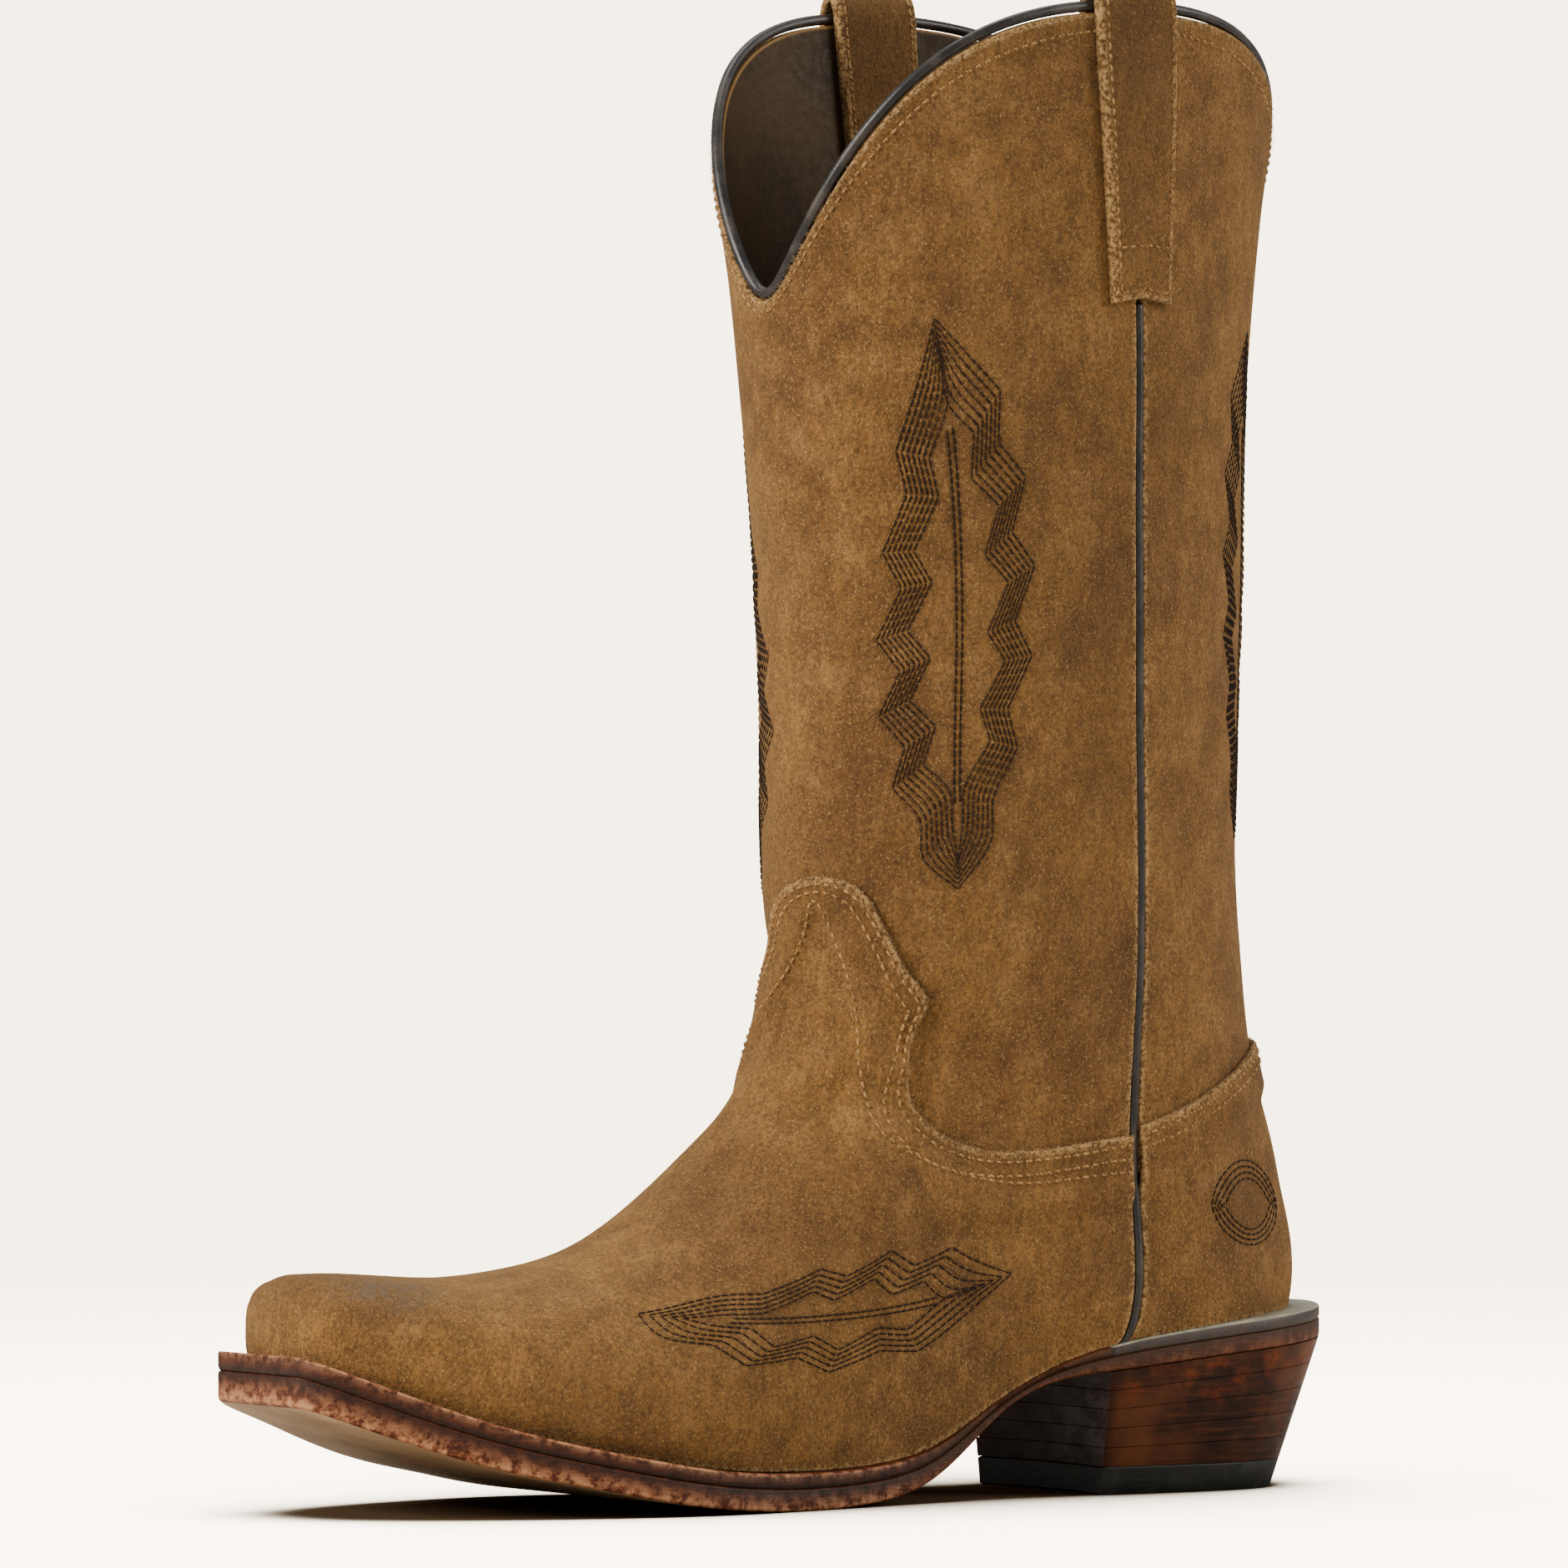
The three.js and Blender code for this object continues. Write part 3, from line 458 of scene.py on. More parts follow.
def woven(lines, offsets, pitch, columns):
    """(a, t, d) over a grid between lines: d eases from one line's offset to the next."""
    u = steps(columns, pitch)
    parts = []
    ends = [line(u) for line in lines]
    for k, ((a0, t0), (a1, t1)) in enumerate(zip(ends, ends[1:])):
        gap = np.median(np.linalg.norm(skin(a1, t1) - skin(a0, t0), axis=-1))
        count = 2 * max(int(round(gap / pitch / 2)), 1)
        f = np.linspace(0, 1, count + 1)
        near = np.array([0.1, 0.3, 0.6, 1.0]) / gap
        if k == 0:
            f = np.concatenate([[0], near, np.linspace(near[-1], 1, count + 1)[1:]])
        if k == len(lines) - 2:
            f = np.concatenate([f[f < 1 - near[-1]], (1 - near)[::-1], [1]])
        if k < len(lines) - 2:
            f = f[:-1]
        f = f[:, None]
        parts.append((lerp(a0, a1, f), lerp(t0, t1, f), lerp(offsets[k], offsets[k + 1], ease(f)) + 0 * a0))
    a, t, d = (np.concatenate(c) for c in zip(*parts))
    if len(a) % 2 == 0:
        a, t, d = (np.delete(c, 8, axis=0) for c in (a, t, d))
    return a, t, d


def border_distance(p):
    """Millimetres from each grid point to the nearest side of its sheet."""
    def walk(q, axis):
        step = np.linalg.norm(np.diff(q, axis=axis), axis=-1)
        zero = np.zeros_like(step.take([0], axis))
        run = np.concatenate([zero, np.cumsum(step, axis)], axis)
        return np.minimum(run, run.take([-1], axis) - run)
    return np.minimum(walk(p, 0), walk(p, 1))


def rounded(e, r):
    """How far a surface drops at e millimetres from an edge of radius r."""
    inside = np.clip(r - e, 0, r)
    return r - np.sqrt(r * r - inside * inside)


def leather(name, grid, thickness, edge_radius, materials, slot, nodes, values=None):
    """A closed sheet of leather over a grid of (a, t, d), finer outside than inside."""
    a, t, d = grid
    rows, columns = a.shape
    e = border_distance(skin(a, t))
    outer = over(a, t, d + thickness - rounded(e, edge_radius))
    inner = over(a, t, d)[::2, ::2]
    return closed_sheet(name, outer, inner, e, materials, slot, nodes, values)


def closed_sheet(name, outer, inner, e, materials, slot, nodes, values=None):
    rows, columns = outer.shape[:2]
    in_rows, in_columns = inner.shape[:2]
    start = rows * columns
    faces = grid_faces(rows, columns) + grid_faces(in_rows, in_columns, start, flip=True)
    ids = np.arange(start).reshape(rows, columns)
    ins = start + np.arange(in_rows * in_columns).reshape(in_rows, in_columns)

    def rim(g):
        return np.concatenate([g[0], g[1:, -1], g[-1, -2::-1], g[-2:0:-1, 0]])

    o, i = rim(ids), rim(ins)
    for k in range(len(i)):
        o0, o1, o2 = o[2 * k], o[2 * k + 1], o[(2 * k + 2) % len(o)]
        i0, i1 = i[k], i[(k + 1) % len(i)]
        faces += [[o0, i0, o1], [o1, i0, i1], [o1, i1, o2]]
    stored = {"edge": np.concatenate([e.ravel(), np.zeros(inner[..., 0].size)])}
    for key, data in (values or {}).items():
        stored[key] = np.concatenate([data.ravel(), np.zeros(inner[..., 0].size)])
    points = np.concatenate([placed(outer).reshape(-1, 3), placed(inner).reshape(-1, 3)])
    return piece(name, points, faces, materials, slot, nodes, stored)


def tube(name, centres, side_a, side_b, radius_a, radius_b, sides, materials, slot, nodes):
    """A round strip along centres; side_a and side_b are its two directions across."""
    angle = np.arange(sides) * 2 * np.pi / sides
    ring = (centres[:, None] + (side_a * radius_a)[:, None] * np.cos(angle)[None, :, None]
            + (side_b * radius_b)[:, None] * np.sin(angle)[None, :, None])
    faces = tube_faces(len(centres), sides)
    return piece(name, placed(ring), faces, materials, slot, nodes)


# ---- materials ------------------------------------------------------------------------------------
def linear(code):
    """Linear colour of an sRGB hex value."""
    parts = [int(code[k : k + 2], 16) / 255 for k in (1, 3, 5)]
    return (*[c / 12.92 if c <= 0.04045 else ((c + 0.055) / 1.055) ** 2.4 for c in parts], 1.0)


def add(tree, kind, settings=None, inputs=None):
    """Adds a node with its settings; an input is a value or the socket that feeds it."""
    made = tree.nodes.new(kind)
    for key, value in (settings or {}).items():
        setattr(made, key, value)
    for key, value in (inputs or {}).items():
        if isinstance(value, bpy.types.NodeSocket):
            tree.links.new(value, made.inputs[key])
        else:
            made.inputs[key].default_value = value
    return made


def noise(tree, vector, size, detail=3.0, rough=0.55, lacunarity=2.0):
    """Cloudy pattern whose blotches are about size millimetres across."""
    made = add(tree, "ShaderNodeTexNoise", None, {
        "Vector": vector, "Scale": 1000 / size, "Detail": detail, "Roughness": rough, "Lacunarity": lacunarity,
    })
    return made.outputs["Fac"]


def ramp(tree, value, low, high, to_low=0.0, to_high=1.0):
    made = add(tree, "ShaderNodeMapRange", {"interpolation_type": "SMOOTHSTEP"}, {
        "Value": value, "From Min": low, "From Max": high, "To Min": to_low, "To Max": to_high,
    })
    return made.outputs["Result"]


def maths(tree, operation, a, b=0.0):
    return add(tree, "ShaderNodeMath", {"operation": operation}, {0: a, 1: b}).outputs[0]


def tint(tree, factor, a, b, blend="MIX"):
    made = add(tree, "ShaderNodeMix", {"data_type": "RGBA", "blend_type": blend}, {0: factor, 6: a, 7: b})
    return made.outputs[2]


def value_of(tree, key):
    return add(tree, "ShaderNodeAttribute", {"attribute_name": key}).outputs["Fac"]


def finish(tree, colour, height, depth, **shader):
    """Ends a material: its shader, with bumps depth millimetres deep."""
    body = tree.nodes["Principled BSDF"]
    for key, value in shader.items():
        socket = body.inputs[key.replace("_", " ")]
        if isinstance(value, bpy.types.NodeSocket):
            tree.links.new(value, socket)
        else:
            socket.default_value = value
    tree.links.new(colour, body.inputs["Base Color"])
    bump = add(tree, "ShaderNodeBump", None, {"Height": height, "Distance": depth / 1000, "Strength": 1.0})
    tree.links.new(bump.outputs["Normal"], body.inputs["Normal"])


def material(name):
    """A new material and the coordinates its patterns use, in metres on the piece itself."""
    made = bpy.data.materials.new(name)
    made.use_nodes = True
    tree = made.node_tree
    return made, tree, add(tree, "ShaderNodeTexCoord").outputs["Object"]


def stretched(tree, vector, x, y, z):
    return add(tree, "ShaderNodeMapping", None, {"Vector": vector, "Scale": (x, y, z)}).outputs["Vector"]


def suede(name, shades):
    """Roughout suede: the flesh side of the hide, brushed. The eye sees a dry mottled nap, light fibre
    tips, dark hollows, polished dark patches where it was handled and pale fuzz on cut edges."""
    made, tree, at = material(name)
    patches = noise(tree, at, 42, 4, 0.6)
    blotches = noise(tree, at, 11, 4, 0.62)
    brushing = noise(tree, stretched(tree, at, 1, 1, 0.35), 2.6, 3, 0.6)
    nap = noise(tree, at, 1.1, 4, 0.72)
    tips = noise(tree, at, 0.6, 2, 0.8)
    colour = tint(tree, ramp(tree, patches, 0.34, 0.66), linear(shades.suede_brown), linear(shades.suede_gold))
    colour = tint(tree, ramp(tree, blotches, 0.42, 0.78, 0, 0.5), colour, linear(shades.suede_light))
    colour = tint(tree, ramp(tree, blotches, 0.5, 0.22, 0, 0.5), colour, linear(shades.suede_dark))
    colour = tint(tree, ramp(tree, brushing, 0.35, 0.68, 0.3, 0.0), colour, linear(shades.suede_dark))
    colour = tint(tree, ramp(tree, nap, 0.38, 0.56, 0.55, 0.0), colour, linear(shades.suede_dark))
    colour = tint(tree, ramp(tree, tips, 0.55, 0.7, 0.0, 0.4), colour, linear(shades.suede_tips))
    handled = maths(tree, "MULTIPLY", value_of(tree, "burnish"), ramp(tree, blotches, 0.3, 0.62, 0.35, 1.0))
    colour = tint(tree, handled, colour, linear(shades.burnish))
    smear = maths(tree, "MULTIPLY", value_of(tree, "smear"), ramp(tree, brushing, 0.42, 0.6, 0.15, 1.0))
    colour = tint(tree, smear, colour, linear(shades.smear))
    groove = value_of(tree, "groove")
    row = value_of(tree, "row")
    wave = maths(tree, "COSINE", maths(tree, "MULTIPLY", row, 2 * math.pi))
    # Painted shade: inside a stitched band the suede is tinted a little towards suede_dark in the troughs between
    # rows, where shade lies; the same troughs are also sunk in the bump.
    trough = maths(tree, "MULTIPLY", ramp(tree, wave, 0.1, 1.0), groove)
    colour = tint(tree, maths(tree, "MULTIPLY", trough, 0.12), colour, linear(shades.suede_dark))
    fuzz = ramp(tree, value_of(tree, "edge"), 0.0, 2.4, 0.55, 0.0)
    fuzz = maths(tree, "MULTIPLY", fuzz, ramp(tree, nap, 0.42, 0.6))
    colour = tint(tree, fuzz, colour, linear(shades.suede_tips))
    height = maths(tree, "ADD", maths(tree, "MULTIPLY", nap, 0.55), maths(tree, "MULTIPLY", tips, 0.3))
    height = maths(tree, "ADD", height, maths(tree, "MULTIPLY", blotches, 0.7))
    height = maths(tree, "SUBTRACT", height, maths(tree, "MULTIPLY", trough, 0.35))
    finish(tree, colour, height, 1.1, Roughness=0.94, Specular_IOR_Level=0.25, Sheen_Weight=0.22,
           Sheen_Roughness=0.45, Sheen_Tint=linear(shades.suede_tips))
    return made


def lining_leather(shades):
    """Drum-dyed pigskin lining, smooth side in: a flat dark olive with a fine pebble and a low shine."""
    made, tree, at = material("olive_pigskin_lining")
    pebble = add(tree, "ShaderNodeTexVoronoi", None, {"Vector": at, "Scale": 1000 / 1.3}).outputs["Distance"]
    cloud = noise(tree, at, 30, 4)
    fine = noise(tree, at, 2.4, 3)
    colour = tint(tree, ramp(tree, cloud, 0.3, 0.7), linear(shades.lining_dark), linear(shades.lining_light))
    colour = tint(tree, ramp(tree, fine, 0.4, 0.7, 0, 0.35), colour, linear(shades.lining_light))
    edge = ramp(tree, value_of(tree, "edge"), 0.0, 1.1, 0.8, 0.0)
    colour = tint(tree, edge, colour, linear(shades.suede_light))
    height = maths(tree, "ADD", maths(tree, "MULTIPLY", pebble, 0.5), maths(tree, "MULTIPLY", fine, 0.6))
    finish(tree, colour, height, 0.12, Roughness=ramp(tree, fine, 0.3, 0.7, 0.7, 0.55), Specular_IOR_Level=0.2)
    return made


def trim_leather(shades):
    """Glazed dark goatskin for piping and bead: nearly black, a soft gloss and rubbed grey-brown highs."""
    made, tree, at = material("glazed_dark_goatskin")
    rub = noise(tree, at, 9, 4, 0.6)
    grain = noise(tree, at, 0.7, 3, 0.6)
    colour = tint(tree, ramp(tree, rub, 0.4, 0.72), linear(shades.trim_dark), linear(shades.trim_light))
    colour = tint(tree, ramp(tree, grain, 0.55, 0.75, 0, 0.3), colour, linear(shades.trim_light))
    finish(tree, colour, grain, 0.06, Roughness=ramp(tree, rub, 0.3, 0.7, 0.34, 0.5))
    return made


def edge_leather(shades):
    """Vegetable-tanned sole leather, edge trimmed, stained and rubbed: red-brown with dark mottling,
    fibres laid in thin layers and pale scuffs on its corners."""
    made, tree, at = material("stained_sole_leather_edge")
    layers = noise(tree, stretched(tree, at, 0.3, 0.3, 2.4), 1.5, 4, 0.65)
    mottle = noise(tree, at, 3.2, 5, 0.68)
    pores = noise(tree, at, 0.8, 3, 0.7)
    colour = tint(tree, ramp(tree, mottle, 0.32, 0.66), linear(shades.edge_dark), linear(shades.edge_red))
    colour = tint(tree, ramp(tree, layers, 0.5, 0.7, 0, 0.6), colour, linear(shades.edge_light))
    colour = tint(tree, ramp(tree, pores, 0.44, 0.3, 0, 0.5), colour, linear(shades.edge_black))
    scuff = maths(tree, "MULTIPLY", value_of(tree, "worn"), ramp(tree, mottle, 0.4, 0.62, 0.0, 0.6))
    colour = tint(tree, scuff, colour, linear(shades.edge_pale))
    crease = maths(tree, "MULTIPLY", value_of(tree, "crease"), 0.9)
    colour = tint(tree, crease, colour, linear(shades.edge_black))
    waist = maths(tree, "MULTIPLY", value_of(tree, "waist"), ramp(tree, mottle, 0.2, 0.7, 0.9, 0.55))
    colour = tint(tree, waist, colour, linear(shades.waist))
    height = maths(tree, "ADD", maths(tree, "MULTIPLY", layers, 0.8), maths(tree, "MULTIPLY", pores, 0.6))
    finish(tree, colour, height, 0.3, Specular_IOR_Level=0.25,
           Roughness=ramp(tree, mottle, 0.3, 0.7, 0.66, 0.5))
    return made


def bottom_leather(shades):
    """Buffed sole leather underneath: even grey tan, faint streaks and a dull wax."""
    made, tree, at = material("buffed_sole_leather")
    cloud = noise(tree, at, 26, 4, 0.6)
    streak = noise(tree, stretched(tree, at, 1.8, 0.3, 1), 3.0, 3, 0.6)
    grain = noise(tree, at, 0.9, 3, 0.65)
    colour = tint(tree, ramp(tree, cloud, 0.35, 0.7), linear(shades.bottom_dark), linear(shades.bottom_light))
    colour = tint(tree, ramp(tree, streak, 0.5, 0.75, 0, 0.3), colour, linear(shades.bottom_light))
    colour = tint(tree, ramp(tree, grain, 0.4, 0.28, 0, 0.5), colour, linear(shades.bottom_dark))
    finish(tree, colour, maths(tree, "ADD", grain, streak), 0.12, Roughness=0.6)
    return made


def stack_leather(shades):
    """Stacked heel leather, sanded and stained: dark red-brown layers with reddish rubs near the seat, and painted
    shade making the breast, the front face under the arch, nearly black.
    """
    made, tree, at = material("stained_stacked_leather")
    layers = noise(tree, stretched(tree, at, 0.12, 0.12, 1.5), 1.9, 4, 0.6)
    rubs = noise(tree, stretched(tree, at, 0.7, 0.7, 1.2), 5.0, 5, 0.7)
    cloud = noise(tree, at, 20, 3)
    colour = tint(tree, ramp(tree, cloud, 0.35, 0.7), linear(shades.stack_dark), linear(shades.stack_brown))
    colour = tint(tree, ramp(tree, layers, 0.48, 0.72, 0, 0.45), colour, linear(shades.stack_brown))
    high = add(tree, "ShaderNodeSeparateXYZ", None, {"Vector": at}).outputs["Z"]
    near_seat = ramp(tree, high, 0.016, 0.034, 0.15, 1.0)
    spots = maths(tree, "MULTIPLY", ramp(tree, rubs, 0.46, 0.8), near_seat)
    colour = tint(tree, maths(tree, "MULTIPLY", spots, 0.85), colour, linear(shades.stack_red))
    joints = maths(tree, "MULTIPLY", value_of(tree, "crease"), 0.12)
    colour = tint(tree, joints, colour, linear(shades.edge_black))
    # Painted shade: the breast, the heel's front face that lies in shade under the arch, is tinted nearly black with
    # the breast colour.
    front = maths(tree, "MULTIPLY", value_of(tree, "breast"), 0.85)
    colour = tint(tree, front, colour, linear(shades.breast))
    finish(tree, colour, layers, 0.14, Specular_IOR_Level=0.12,
           Roughness=ramp(tree, rubs, 0.35, 0.7, 0.44, 0.6))
    return made


def top_lift_rubber(shades):
    """Moulded rubber top lift: near black, matt, with sanding lines round its edge."""
    made, tree, at = material("sanded_black_rubber")
    lines = noise(tree, stretched(tree, at, 0.1, 0.1, 1), 0.8, 3, 0.6)
    dust = noise(tree, at, 7, 4, 0.6)
    colour = tint(tree, ramp(tree, dust, 0.4, 0.75), linear(shades.rubber_dark), linear(shades.rubber_light))
    colour = tint(tree, ramp(tree, lines, 0.55, 0.75, 0, 0.5), colour, linear(shades.rubber_light))
    finish(tree, colour, lines, 0.08, Roughness=0.6, Specular_IOR_Level=0.3)
    return made


def rand_leather(shades):
    """Heel seat rand: dyed edge leather, dark brown where it was inked at the side, with painted light making the
    faces that point up pale grey-green.
    """
    made, tree, at = material("inked_rand_leather")
    mottle = noise(tree, at, 4.5, 4, 0.65)
    pores = noise(tree, at, 0.9, 3, 0.7)
    facing = add(tree, "ShaderNodeSeparateXYZ", None, {
        "Vector": add(tree, "ShaderNodeNewGeometry").outputs["Normal"],
    }).outputs["Z"]
    # Painted light: faces that point up get a pale grey-green lit copy of the rand's colour, chosen by the surface
    # normal.
    top = ramp(tree, facing, 0.35, 0.8)
    side = tint(tree, ramp(tree, mottle, 0.35, 0.7), linear(shades.rand_dark), linear(shades.rand_side))
    flat = tint(tree, ramp(tree, mottle, 0.35, 0.7), linear(shades.rand_top_painted_light), linear(shades.rand_pale_painted_light))
    colour = tint(tree, top, side, flat)
    colour = tint(tree, ramp(tree, pores, 0.42, 0.28, 0, 0.6), colour, linear(shades.rand_dark))
    finish(tree, colour, maths(tree, "ADD", mottle, pores), 0.15,
           Roughness=ramp(tree, mottle, 0.3, 0.7, 0.42, 0.6))
    return made


def thread(name, dark, light):
    """Bonded polyester thread: twisted plies give it fine slanting light lines and a waxy glint."""
    made, tree, at = material(name)
    ply = add(tree, "ShaderNodeTexWave", {"wave_type": "BANDS", "bands_direction": "DIAGONAL"}, {
        "Vector": at, "Scale": 1000 / 2.2, "Distortion": 1.5, "Detail": 1.0,
    }).outputs["Fac"]
    shade = noise(tree, at, 6, 2)
    colour = tint(tree, ramp(tree, ply, 0.3, 0.9, 0.0, 0.55), linear(dark), linear(light))
    colour = tint(tree, ramp(tree, shade, 0.4, 0.7, 0.0, 0.4), colour, linear(light))
    finish(tree, colour, ply, 0.05, Roughness=0.75, Specular_IOR_Level=0.2)
    return made


def plain(name, dark, light, size, roughness, depth=0.1, **shader):
    """Hidden stock such as board, cork and felt: two shades in clumps of size millimetres."""
    made, tree, at = material(name)
    clumps = noise(tree, at, size, 5, 0.68)
    fine = noise(tree, at, size / 4, 3, 0.6)
    colour = tint(tree, ramp(tree, clumps, 0.4, 0.62), linear(dark), linear(light))
    colour = tint(tree, ramp(tree, fine, 0.42, 0.3, 0, 0.4), colour, linear(dark))
    finish(tree, colour, maths(tree, "ADD", clumps, fine), depth, Roughness=roughness, **shader)
    return made


STOCK = {}                    # materials by the name of the stock they stand for


def stock(key):
    if key not in STOCK:
        shades = bpy.context.scene.boot_shades
        STOCK.update({
            "suede": suede("roughout_suede", shades),
            "lining": lining_leather(shades),
            "trim": trim_leather(shades),
            "edge": edge_leather(shades),
            "bottom": bottom_leather(shades),
            "stack": stack_leather(shades),
            "rubber": top_lift_rubber(shades),
            "rand": rand_leather(shades),
            "dark_thread": thread("dark_bonded_thread", shades.thread_dark, shades.thread_brown),
            "tan_thread": thread("tan_bonded_thread", shades.thread_tan_dark, shades.thread_tan),
            # Loose suede fibres: pale straw, no gloss.
            "fibres": plain("loose_suede_fibres", "#A67F4E", "#DCC193", 1.5, 0.9),
            # Leather board: pressed fibres, a flat buff with darker clumps.
            "board": plain("leatherboard", "#8C6B44", "#B69468", 3.0, 0.85),
            # Sock leather on foam: smooth brown, small creases.
            "sock": plain("sock_leather_on_foam", "#54452F", "#75603F", 5.0, 0.7),
            # Granulated cork: clumps of two browns.
            "cork": plain("granulated_cork", "#6E4F2C", "#B08A58", 2.2, 0.95, 0.4),
            # Needled felt dipped in resin: pale grey-buff.
            "stiff": plain("resin_felt", "#A89A7E", "#CBBF9F", 1.6, 0.9),
            # Cold-rolled steel strip and wire: dull grey with a rolled grain.
            "steel": plain("cold_rolled_steel", "#7C8084", "#A9ADB1", 2.0, 0.38, 0.03, Metallic=1.0),
            # Brass nails, tumbled: soft yellow with brown tarnish.
            "brass": plain("tumbled_brass", "#8E6B2E", "#C9A35C", 1.2, 0.34, 0.03, Metallic=1.0),
        })
    return STOCK[key]


# ---- settings -------------------------------------------------------------------------------------
def shade(name, code, description):
    return bpy.props.StringProperty(name=name, default=code, description=description)


class BootShades(bpy.types.PropertyGroup):
    """Colours of the boot's leathers and threads, as sRGB hex values."""
    suede_brown: shade("Suede brown", "#6B4824", "Brown of the brushed nap")
    suede_gold: shade("Suede gold", "#875F2D", "Golden patches of the nap")
    suede_light: shade("Suede light", "#A37A47", "Freshly brushed patches")
    suede_dark: shade("Suede dark", "#3C2A15", "Hollows between fibres")
    suede_tips: shade("Suede tips", "#D0A971", "Loose fibre tips and cut edges")
    burnish: shade("Burnish", "#3E2610", "Handled, polished patches")
    smear: shade("Smear", "#3E474B", "Grey-blue scuff on the toe")
    lining_dark: shade("Lining dark", "#281C0C", "Lining in its folds")
    lining_light: shade("Lining light", "#453218", "Lining where light catches it")
    trim_dark: shade("Trim dark", "#15110F", "Piping and bead")
    trim_light: shade("Trim light", "#3A322C", "Rubbed highs of piping and bead")
    edge_dark: shade("Edge dark", "#451A07", "Dark mottling of the sole edge")
    edge_red: shade("Edge red", "#7E3C18", "Stain of the sole edge")
    edge_light: shade("Edge light", "#9A5A2C", "Light fibre layers of the sole edge")
    edge_pale: shade("Edge pale", "#D09B70", "Scuffed corners of the sole edge")
    edge_black: shade("Edge black", "#180B05", "Joints between layers")
    waist: shade("Waist", "#3A2009", "Inked edge at the waist")
    bottom_dark: shade("Bottom dark", "#A98762", "Underside in shade")
    bottom_light: shade("Bottom light", "#CBAA84", "Underside where it is buffed")
    stack_dark: shade("Stack dark", "#231008", "Heel leather near the floor")
    stack_brown: shade("Stack brown", "#5C3319", "Heel leather")
    stack_red: shade("Stack red", "#7A3616", "Reddish rubs near the seat")
    # The breast colour is painted shade for the heel's front face under the arch.
    breast: shade("Breast", "#260A03", "Inked front of the heel")
    rubber_dark: shade("Rubber dark", "#0E0F0B", "Top lift")
    rubber_light: shade("Rubber light", "#24241B", "Dusty top lift")
    rand_dark: shade("Rand dark", "#1E160E", "Inked side of the rand")
    rand_side: shade("Rand side", "#3B2716", "Side of the rand")
    # The two rand top colours are painted light on the rand's upward faces.
    rand_top_painted_light: shade("Rand top", "#85826C", "Top of the rand")
    rand_pale_painted_light: shade("Rand pale", "#B4B19A", "Worn top of the rand")
    thread_dark: shade("Dark thread", "#150B05", "Pattern stitching")
    thread_brown: shade("Brown thread", "#35200F", "Pattern stitching where it shines")
    thread_tan_dark: shade("Tan thread dark", "#6F4E2A", "Seam stitching in shade")
    thread_tan: shade("Tan thread", "#C39A62", "Seam stitching")


def length(name, value, description):
    return bpy.props.FloatProperty(name=name, default=value, min=0.0, unit="LENGTH", description=description)


class BootSizes(bpy.types.PropertyGroup):
    """Sizes of the boot's leathers, trims and stitches, in metres."""
    leather: length("Leather", 0.0016, "Thickness of the outer leather")
    lining: length("Lining", 0.0012, "Thickness of the lining")
    lap: length("Lap", 0.0085, "How far vamp and counter lap over the shaft")
    piping_radius: length("Piping radius", 0.00125, "Half the width of the piping in the side seams")
    bead_radius: length("Bead radius", 0.00135, "Half the thickness of the topline bead")
    strap_width: length("Strap width", 0.027, "Width of a pull strap at the topline")
    strap_thickness: length("Strap thickness", 0.0026, "Thickness of a folded pull strap")
    pitch: length("Mesh pitch", 0.00105, "Distance between mesh points of the leather")
    stitch: length("Stitch", 0.0022, "Length from needle hole to needle hole")
    thread: length("Thread", 0.0004, "Thickness of the pattern thread")


def size(key):
    """A size in millimetres."""
    return getattr(bpy.context.scene.boot_sizes, key) * 1000


# Offsets of the layers' inner faces from the last, in millimetres.
OUT, OVER, SKIN, DEEP = 0.15, 2.05, -1.35, -3.25


# ---- pattern stitching ----------------------------------------------------------------------------
# A plain leaf with even saw teeth, made by one rule from round sizes, stands once on each half of a panel.


def centre(t):
    """Middle line of the front patterns; it leans outward over the instep."""
    return 0.045 * ease((t - 0.22) / 0.12) * ease((0.98 - t) / 0.5)


NARROW, TIGHT = 0.5, 0.25     # millimetres between rows: below these one row in two, then three in four, stop


class Band:
    """Rows of stitches between two borders that have the same corners."""

    def __init__(self, panel, rows, outline, inside):
        self.panel, self.rows = panel, rows
        self.corners, self.inside = np.array(outline, float), np.array(inside, float)
        way = np.diff((self.corners + self.inside) / 2 * MM, axis=0)
        way /= np.linalg.norm(way, axis=1)[:, None]
        self.sharp = np.concatenate([[True], (way[1:] * way[:-1]).sum(1) < 0.84, [True]])
        across = (self.inside - self.corners) * MM
        across = (across[1:] + across[:-1]) / 2
        self.spacing = np.abs(way[:, 0] * across[:, 1] - way[:, 1] * across[:, 0]) / (rows - 1)

    def at_row(self, k):
        return lerp(self.corners, self.inside, k / (self.rows - 1))

    def paths(self):
        """Each row cut at its sharp corners, where the needle turns; every other row stops where the band
        is too narrow for it."""
        for k in range(self.rows):
            row = self.at_row(k)
            turns = np.flatnonzero(self.sharp)
            for i, j in zip(turns, turns[1:]):
                apart = self.spacing[i:j].mean()
                if k % 2 and apart < NARROW or k % 4 and apart < TIGHT:
                    continue
                run = row[i : j + 1]
                yield run if len(run) < 3 else centripetal(list(run * MM), 12) / MM

    def turned(self, place):
        """The same band with every place moved by a rule."""
        return Band(self.panel, self.rows, [place(*p) for p in self.corners], [place(*p) for p in self.inside])


def vein(panel, line, gap=0.0075):
    """Two rows side by side along a line."""
    line = np.array(line)
    way = np.gradient(line * MM, axis=0)
    way /= np.linalg.norm(way, axis=1)[:, None]
    side = np.stack([-way[:, 1], way[:, 0]], -1) / MM * 190 * gap / 2
    return Band(panel, 2, line - side, line + side)


